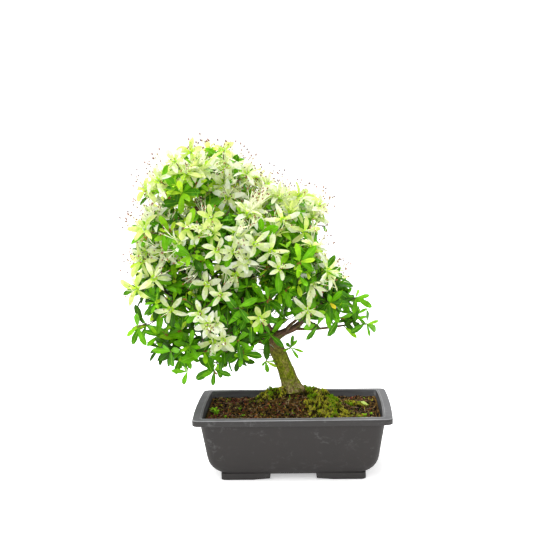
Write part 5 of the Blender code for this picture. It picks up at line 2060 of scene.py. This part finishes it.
def petal_faces():
    """Triangles of a petal: two points at the root and the tip, three between."""
    faces = [(0, 1, 3), (0, 3, 2), (1, 4, 3)]
    for station in range(3):
        a = 2 + 3 * station
        for p in (a, a + 1):
            faces += [(p, p + 1, p + 4), (p, p + 4, p + 3)]
    last = 11                   # the first point of the last row of three
    faces += [(last, last + 1, last + 3), (last + 1, last + 4, last + 3),
              (last + 1, last + 2, last + 4)]
    return np.array(faces)


PETAL_FACES = petal_faces()
THROAT_FACES = 3
HEART_FACES = (7, 9)            # up to where a petal is tinted, at least and at most


def add_petal(batch, root, axis, out, openness, length, width, finish, rng):
    """One petal that rises from the flower's throat and curves outwards; sizes in mm."""
    across = axis.cross(out)
    first = math.radians(14 + 12 * openness)
    last = math.radians(14 + (94 + rng.uniform(-30, 38)) * openness)
    twist = rng.uniform(-0.75, 0.75)
    bend = rng.uniform(-0.42, 0.42)
    place = root + out * 0.9 * MM
    points = []
    before = 0.0
    for number, (station, share) in enumerate(zip(PETAL_STATIONS, PETAL_WIDTHS)):
        angle = first + (last - first) * station ** 0.8
        ahead = axis * math.cos(angle) + out * math.sin(angle)
        lift = axis * math.sin(angle) - out * math.cos(angle)
        direction = ahead * math.cos(bend * station) + across * math.sin(bend * station)
        place = place + direction * (station - before) * length * MM
        before = station
        level = direction.cross(lift)
        side = level * math.cos(twist * station) + lift * math.sin(twist * station)
        half = width / 2 * share * MM
        cup = lift * half * (0.55 - 0.40 * station)
        if number == 0 or number == len(PETAL_STATIONS) - 1:
            points += [place - side * half, place + side * half]
        else:
            wave = lift * half * rng.uniform(-0.4, 0.4)
            points += [place - side * half + cup + wave, place, place + side * half + cup - wave]
    finishes = np.full(len(PETAL_FACES), finish)
    heart = LIME_HEART if finish == LIME else PALE_HEART
    finishes[:HEART_FACES[0]] = heart
    if rng.random() < 0.6:
        finishes[HEART_FACES[0]:HEART_FACES[1]] = heart
    finishes[:THROAT_FACES] = THROAT
    batch.add(points, PETAL_FACES, finishes)


def add_stamens(batch, root, axis, out, openness, room, stamens, rng):
    """Long curved filaments with anthers, and the style, each kept inside the room."""
    across = axis.cross(out)
    count = stamens + 1
    for k in range(count):
        angle = math.tau * k / count + rng.uniform(-0.5, 0.5)
        spread = rng.uniform(0.10, 0.34)
        away = (out * math.cos(angle) + across * math.sin(angle)) * spread
        length = STAMEN_LENGTH * rng.uniform(0.82, 1.1) * (0.55 + 0.45 * openness)
        start_direction = (axis + away * 0.4).normalized()
        end_direction = (axis + away * 1.5 + UP * 0.18).normalized()
        for shrink in (1.0, 0.85, 0.7, 0.55, 0.4, 0.25):
            size = length * shrink * MM
            middle = root + start_direction * size * 0.5
            tip = middle + end_direction * size * 0.5
            if in_room(tip + end_direction * MM, room) and in_outline(
                    (tip - POT_MIDDLE) / MM, -STAMEN_OVERREACH):
                break
        radius = STAMEN_RADIUS * MM
        points, faces = tube([root, middle, tip], [radius, radius, radius * 0.8], 3)
        batch.add(points, faces, FILAMENT)
        if k < stamens:
            turn = end_direction.to_track_quat("Z", "Y").to_matrix()
            grain = [tip + turn @ (Vector(corner) * GRAIN_HALVES) * MM for corner in OCTAHEDRON]
            batch.add(grain, OCTAHEDRON_FACES, rng.choice((ANTHER, ANTHER, ANTHER_DARK)))
        else:
            grain = [tip + Vector((x, y, z)) * 0.4 * MM for x, y, z in OCTAHEDRON]
            batch.add(grain, OCTAHEDRON_FACES, FILAMENT)


def add_flower(petals, stamens, place, axis, openness, scale, tint, room, rng):
    """One flower or, when hardly open, a bud, on its stalk."""
    root = spot(*place) + axis * 4.0 * MM
    if not in_room(root + axis * 9 * MM, room):
        axis = (axis + (spot(*CROWN_MIDDLE) - root).normalized() * 0.7).normalized()
    stalk, faces = tube([spot(*place) - axis * MM, root + axis * 1.2 * MM], [0.6 * MM, 1.1 * MM], 5)
    stamens.add(stalk, faces, STALK)
    paler = (WHITE, WHITE, WHITE, CREAM) if place.z > WHITE_FROM else (WHITE, CREAM)
    finish = LIME if tint > 0.6 else rng.choice(paler)
    side = axis.orthogonal().normalized()
    other = axis.cross(side)
    turn = rng.uniform(0, math.tau)
    for k in range(PETALS):
        angle = turn + math.tau * k / PETALS + rng.uniform(-0.24, 0.24)
        out = side * math.cos(angle) + other * math.sin(angle)
        length = PETAL_LENGTH * scale * rng.uniform(0.84, 1.1)
        width = PETAL_WIDTH * scale * rng.uniform(0.9, 1.12) * (0.6 + 0.4 * openness)
        reach = root + (axis * math.cos(1.0) + out * math.sin(1.0)) * length * MM
        if not in_room(reach, room) or not in_outline((reach - POT_MIDDLE) / MM, -PETAL_OVERREACH):
            length *= 0.7
        add_petal(petals, root, axis, out, openness, length, width, finish, rng)
    if openness > 0.45:
        add_stamens(stamens, root, axis, side, openness, room, rng.choice(STAMENS), rng)


def covers_something(shoot):
    """Whether flowers on a shoot would cover an opening or a named blossom or whorl."""
    return in_opening(shoot.place, FLOWER_REACH) or hides_named(shoot.place, shoot)


def build_blossom(settings):
    """Petals and stamens of all flowers, each kind in its own piece."""
    crown = bpy.context.scene.azalea_crown
    rng = random.Random(crown.seed + 3)
    room = allowed_box()
    petals, stamens = Batch(), Batch()
    for _, shoots in crown_plan().values():
        for shoot in shoots:
            if shoot.flowers and not shoot.named and covers_something(shoot):
                continue
            for number in range(shoot.flowers):
                axis = shoot.axis
                if number:
                    axis = (axis + 0.75 * random_direction(rng)).normalized()
                openness = 1.0 if rng.random() < settings.open_share else rng.uniform(0.05, 0.6)
                if shoot.named and number == 0:
                    openness = 1.0
                scale = rng.uniform(0.88, 1.08) * (0.75 + 0.25 * openness) * shoot.scale ** 0.5
                place = shoot.place + axis * 1.5 * number
                add_flower(petals, stamens, place, axis, openness, scale, shoot.tint, room, rng)
    blooms = [petal_material("petal_" + kind, getattr(settings, kind + "_colour"))
              for kind in PETAL_KINDS]
    settle(petals.build("petals", blooms), "foliage", *MASSES)
    parts = [stamen_material("filament", settings.filament_colour),
             stamen_material("anther", settings.anther_colour),
             stamen_material("anther_dark", ANTHER_DARK_COLOUR),
             stamen_material("flower_stalk", STALK_COLOUR)]
    settle(stamens.build("stamens", parts), "foliage", *MASSES)


def petal_material(name, colour):
    """A soft matt petal, half of its light coming through."""
    finish = Finish(name, colour, 0.6, 0.1)
    veins = finish.cloud(1.6, 4, rough=0.7)
    finish.colour(finish.ramp(veins, (0.36, shade(colour, 0.84)), (0.62, shade(colour, 1.12))))
    finish.bump((finish.cloud(2.2, 2), 0.35))
    finish.glow_through((colour[0] * 1.16, colour[1] * 1.2, colour[2] * 0.7), 0.54)
    return finish.material


def stamen_material(name, colour):
    return Finish(name, colour, 0.55, 0.2).material


# ---------------------------------------------------------------- what a user can change

def colour_setting(name, description, default):
    return bpy.props.FloatVectorProperty(name=name, description=description, subtype="COLOR",
                                         size=3, min=0.0, max=1.0, default=default)


def count_setting(name, description, default):
    return bpy.props.IntProperty(name=name, description=description, default=default, min=0)


class StageSettings(bpy.types.PropertyGroup):
    """Light and floor."""

    floor_radius: bpy.props.FloatProperty(
        name="Floor radius", description="Radius of the round studio floor", default=14.0,
        min=1.0, unit="LENGTH")
    floor_colour: colour_setting("Floor", "Colour of the studio floor", (0.97, 0.97, 0.97))
    floor_glow: bpy.props.FloatProperty(
        name="Floor glow", description="How much light the floor gives off itself", default=0.42,
        min=0.0)
    surround: bpy.props.FloatProperty(
        name="Surround", description="Strength of the white surroundings", default=1.1, min=0.0)
    top_power: bpy.props.FloatProperty(
        name="Top light", description="Power of the softbox overhead", default=54.0, min=0.0,
        unit="POWER")
    front_power: bpy.props.FloatProperty(
        name="Front light", description="Power of the softbox in front", default=13.0, min=0.0,
        unit="POWER")


class PotSettings(bpy.types.PropertyGroup):
    """Plastic of the pot."""

    pot_colour: colour_setting("Pot", "Colour of the pot's sides", (0.0200, 0.0176, 0.0168))
    # Lighter than the sides: painted light on the feet in their shaded recess.
    foot_colour: colour_setting("Feet", "Colour of the pot's feet", (0.0260, 0.0238, 0.0230))
    lip_colour: colour_setting("Lip", "Colour of the lip's upright face", (0.025, 0.0235, 0.0228))
    rim_colour: colour_setting("Rim", "Colour of the rim's top", (0.085, 0.085, 0.088))
    # Lighter for the worn edge and for a painted highlight along the rim.
    edge_wear_highlight_colour: colour_setting("Edge", "Colour of the rim's worn edges", (0.15, 0.15, 0.155))
    inside_colour: colour_setting("Inside", "Colour of the pot's inner wall",
                                  (0.072, 0.072, 0.077))
    wear_colour: colour_setting("Wear", "Colour of scuffs and scratches", (0.30, 0.30, 0.30))


class GroundSettings(bpy.types.PropertyGroup):
    """Soil and moss."""

    soil_colour: colour_setting("Soil", "Colour of the soil", (0.066, 0.037, 0.009))
    soil_grains: count_setting("Grains", "Loose grains on the soil", 6500)
    soil_fibres: count_setting("Fibres", "Root fibres on the soil", 420)
    moss_colour: colour_setting("Moss", "Colour of the moss", (0.150, 0.140, 0.006))
    moss_bright_colour: colour_setting("Bright moss", "Colour of the freshest moss",
                                       (0.22, 0.40, 0.008))
    moss_tip_colour: colour_setting("Moss tips", "Colour of the paler moss", (0.60, 0.58, 0.05))
    moss_tufts: count_setting("Tufts", "Tufts that stand out of the moss", 6500)


class BarkSettings(bpy.types.PropertyGroup):
    """Bark of the trunk and boughs."""

    trunk_colour: colour_setting("Trunk", "Colour of the trunk's bare bark",
                                 (0.152, 0.116, 0.036))
    trunk_moss_colour: colour_setting("Green bark", "Colour of the bark where moss covers it",
                                      (0.104, 0.128, 0.005))
    foot_colour: colour_setting("Foot", "Colour of the bare bark low on the trunk",
                                (0.235, 0.175, 0.090))
    foot_dark_colour: colour_setting("Foot flecks", "Colour of the flecks low on the trunk",
                                     (0.100, 0.035, 0.022))
    bark_colour: colour_setting("Boughs", "Colour of the boughs' bark", (0.085, 0.045, 0.026))
    bark_depth: bpy.props.FloatProperty(
        name="Relief", description="Depth of the trunk's bark relief, in mm", default=0.9,
        min=0.0)


class CrownSettings(bpy.types.PropertyGroup):
    """How the twigs grow."""

    seed: count_setting("Seed", "Number that all random draws of the crown start from", SEED)
    shoot_factor: bpy.props.FloatProperty(
        name="Shoots", description="Shoots for each shoot of the solids", default=3.6, min=1.0)
    inner_factor: bpy.props.FloatProperty(
        name="Inner shoots", description="Shaded inner shoots for each shoot of the solids",
        default=2.0, min=0.0)
    shoot_spacing: bpy.props.FloatProperty(
        name="Spacing", description="Least distance between two shoots' tips, in mm",
        default=13.5, min=4.0)
    bloom_share: bpy.props.FloatProperty(
        name="Blossom", description="Share of the blossom that each mass can have", default=1.0,
        min=0.0, max=1.5)
    side_most: count_setting("Side shoots", "Most side shoots on a twig", 1)

    @property
    def side_counts(self):
        return (max(0, self.side_most - 1), max(0, self.side_most - 1), self.side_most)


class LeafSettings(bpy.types.PropertyGroup):
    """Colours of the leaves."""

    # Deep is a darker leaf colour that paints the shade inside the crown.
    deep_colour: colour_setting("Deep", "Colour of the shaded inner leaves", (0.024, 0.080, 0.002))
    dark_colour: colour_setting("Dark leaf", "Colour of old leaves", (0.044, 0.165, 0.003))
    mid_colour: colour_setting("Leaf", "Colour of most leaves", (0.094, 0.298, 0.003))
    fresh_colour: colour_setting("Fresh", "Colour of the fresher leaves", (0.190, 0.415, 0.008))
    young_colour: colour_setting("Young leaf", "Colour of new leaves", (0.350, 0.530, 0.025))
    rib_colour: colour_setting("Rib", "Colour of a leaf's middle rib", (0.160, 0.36, 0.020))
    yellow_colour: colour_setting("Yellow leaf", "Colour of a fading leaf", (0.72, 0.56, 0.03))
    dead_colour: colour_setting("Dead leaf", "Colour of a withered leaf", (0.22, 0.10, 0.025))
    odd_leaf_share: bpy.props.FloatProperty(
        name="Odd leaves", description="Share of leaves that are yellow or withered",
        default=0.001, min=0.0, max=1.0)


class BloomSettings(bpy.types.PropertyGroup):
    """Colours of the blossom."""

    white_colour: colour_setting("White", "Colour of white petals", (0.73, 0.75, 0.67))
    cream_colour: colour_setting("Cream", "Colour of cream petals", (0.69, 0.72, 0.52))
    lime_colour: colour_setting("Lime", "Colour of lime petals", (0.58, 0.64, 0.26))
    throat_colour: colour_setting("Throat", "Colour of the petals' roots", (0.46, 0.68, 0.06))
    pale_heart_colour: colour_setting("Pale heart", "Tint in the middle of pale petals",
                                      (0.59, 0.67, 0.32))
    lime_heart_colour: colour_setting("Lime heart", "Tint in the middle of lime petals",
                                      (0.49, 0.62, 0.15))
    filament_colour: colour_setting("Filament", "Colour of the filaments", (0.72, 0.74, 0.48))
    anther_colour: colour_setting("Anther", "Colour of the anthers", (0.22, 0.075, 0.028))
    open_share: bpy.props.FloatProperty(
        name="Open", description="Share of the flowers that are fully open", default=0.78,
        min=0.0, max=1.0)


# ---------------------------------------------------------------- operators and panel

class AZALEA_OT_stage(bpy.types.Operator):
    """Add the floor, the lights and the camera"""

    bl_idname = "azalea.stage"
    bl_label = "Stage"

    def execute(self, context):
        settings = context.scene.azalea_stage
        make_floor(settings)
        make_light(settings)
        make_camera()
        return {"FINISHED"}


class AZALEA_OT_pot(bpy.types.Operator):
    """Model the pot and its feet"""

    bl_idname = "azalea.pot"
    bl_label = "Pot"

    def execute(self, context):
        build_pot(context.scene.azalea_pot)
        build_feet(context.scene.azalea_pot)
        return {"FINISHED"}


class AZALEA_OT_soil(bpy.types.Operator):
    """Fill the pot with soil, grains and litter"""

    bl_idname = "azalea.soil"
    bl_label = "Soil"

    def execute(self, context):
        settings = context.scene.azalea_ground
        build_soil(settings)
        build_crumbs(settings)
        build_litter(settings)
        return {"FINISHED"}


class AZALEA_OT_moss(bpy.types.Operator):
    """Lay the moss cushions and their tufts"""

    bl_idname = "azalea.moss"
    bl_label = "Moss"

    def execute(self, context):
        build_moss(context.scene.azalea_ground)
        return {"FINISHED"}


class AZALEA_OT_limbs(bpy.types.Operator):
    """Model the bark of the trunk and of every bough"""

    bl_idname = "azalea.limbs"
    bl_label = "Trunk and boughs"

    def execute(self, context):
        build_trunk(context.scene.azalea_bark)
        build_boughs(context.scene.azalea_bark)
        return {"FINISHED"}


class AZALEA_OT_twigs(bpy.types.Operator):
    """Grow the twigs from the boughs' tips"""

    bl_idname = "azalea.twigs"
    bl_label = "Twigs"

    def execute(self, context):
        build_twigs(context.scene.azalea_crown)
        return {"FINISHED"}


class AZALEA_OT_leaves(bpy.types.Operator):
    """Put whorls of leaves on the shoots"""

    bl_idname = "azalea.leaves"
    bl_label = "Leaves"

    def execute(self, context):
        build_leaves(context.scene.azalea_leaf)
        return {"FINISHED"}


class AZALEA_OT_blossom(bpy.types.Operator):
    """Put flowers and buds on the shoots in flower"""

    bl_idname = "azalea.blossom"
    bl_label = "Blossom"

    def execute(self, context):
        build_blossom(context.scene.azalea_bloom)
        return {"FINISHED"}


class AZALEA_PT_panel(bpy.types.Panel):
    """Buttons and settings of every part, in the order in which they are made"""

    bl_label = "Azalea bonsai"
    bl_idname = "AZALEA_PT_panel"
    bl_space_type = "VIEW_3D"
    bl_region_type = "UI"
    bl_category = "Azalea"

    def draw(self, context):
        for operator, group in STEPS:
            box = self.layout.box()
            box.operator(operator.bl_idname)
            settings = getattr(context.scene, group)
            for name in settings.__annotations__:
                box.prop(settings, name)


SETTINGS = {
    "azalea_stage": StageSettings, "azalea_pot": PotSettings, "azalea_ground": GroundSettings,
    "azalea_bark": BarkSettings, "azalea_crown": CrownSettings, "azalea_leaf": LeafSettings,
    "azalea_bloom": BloomSettings,
}
STEPS = [(AZALEA_OT_stage, "azalea_stage"), (AZALEA_OT_pot, "azalea_pot"),
         (AZALEA_OT_soil, "azalea_ground"), (AZALEA_OT_moss, "azalea_ground"),
         (AZALEA_OT_limbs, "azalea_bark"), (AZALEA_OT_twigs, "azalea_crown"),
         (AZALEA_OT_leaves, "azalea_leaf"), (AZALEA_OT_blossom, "azalea_bloom")]


def register():
    for group in SETTINGS.values():
        bpy.utils.register_class(group)
    for name, group in SETTINGS.items():
        setattr(bpy.types.Scene, name, bpy.props.PointerProperty(type=group))
    for operator, _ in STEPS:
        bpy.utils.register_class(operator)
    bpy.utils.register_class(AZALEA_PT_panel)


def unregister():
    bpy.utils.unregister_class(AZALEA_PT_panel)
    for operator, _ in reversed(STEPS):
        bpy.utils.unregister_class(operator)
    for name in reversed(SETTINGS):
        delattr(bpy.types.Scene, name)
    for group in reversed(SETTINGS.values()):
        bpy.utils.unregister_class(group)


def main():
    """Register the add-on, then make every part in order."""
    register()
    for operator, _ in STEPS:
        module, name = operator.bl_idname.split(".")
        getattr(getattr(bpy.ops, module), name)()


if __name__ == "__main__":
    main()
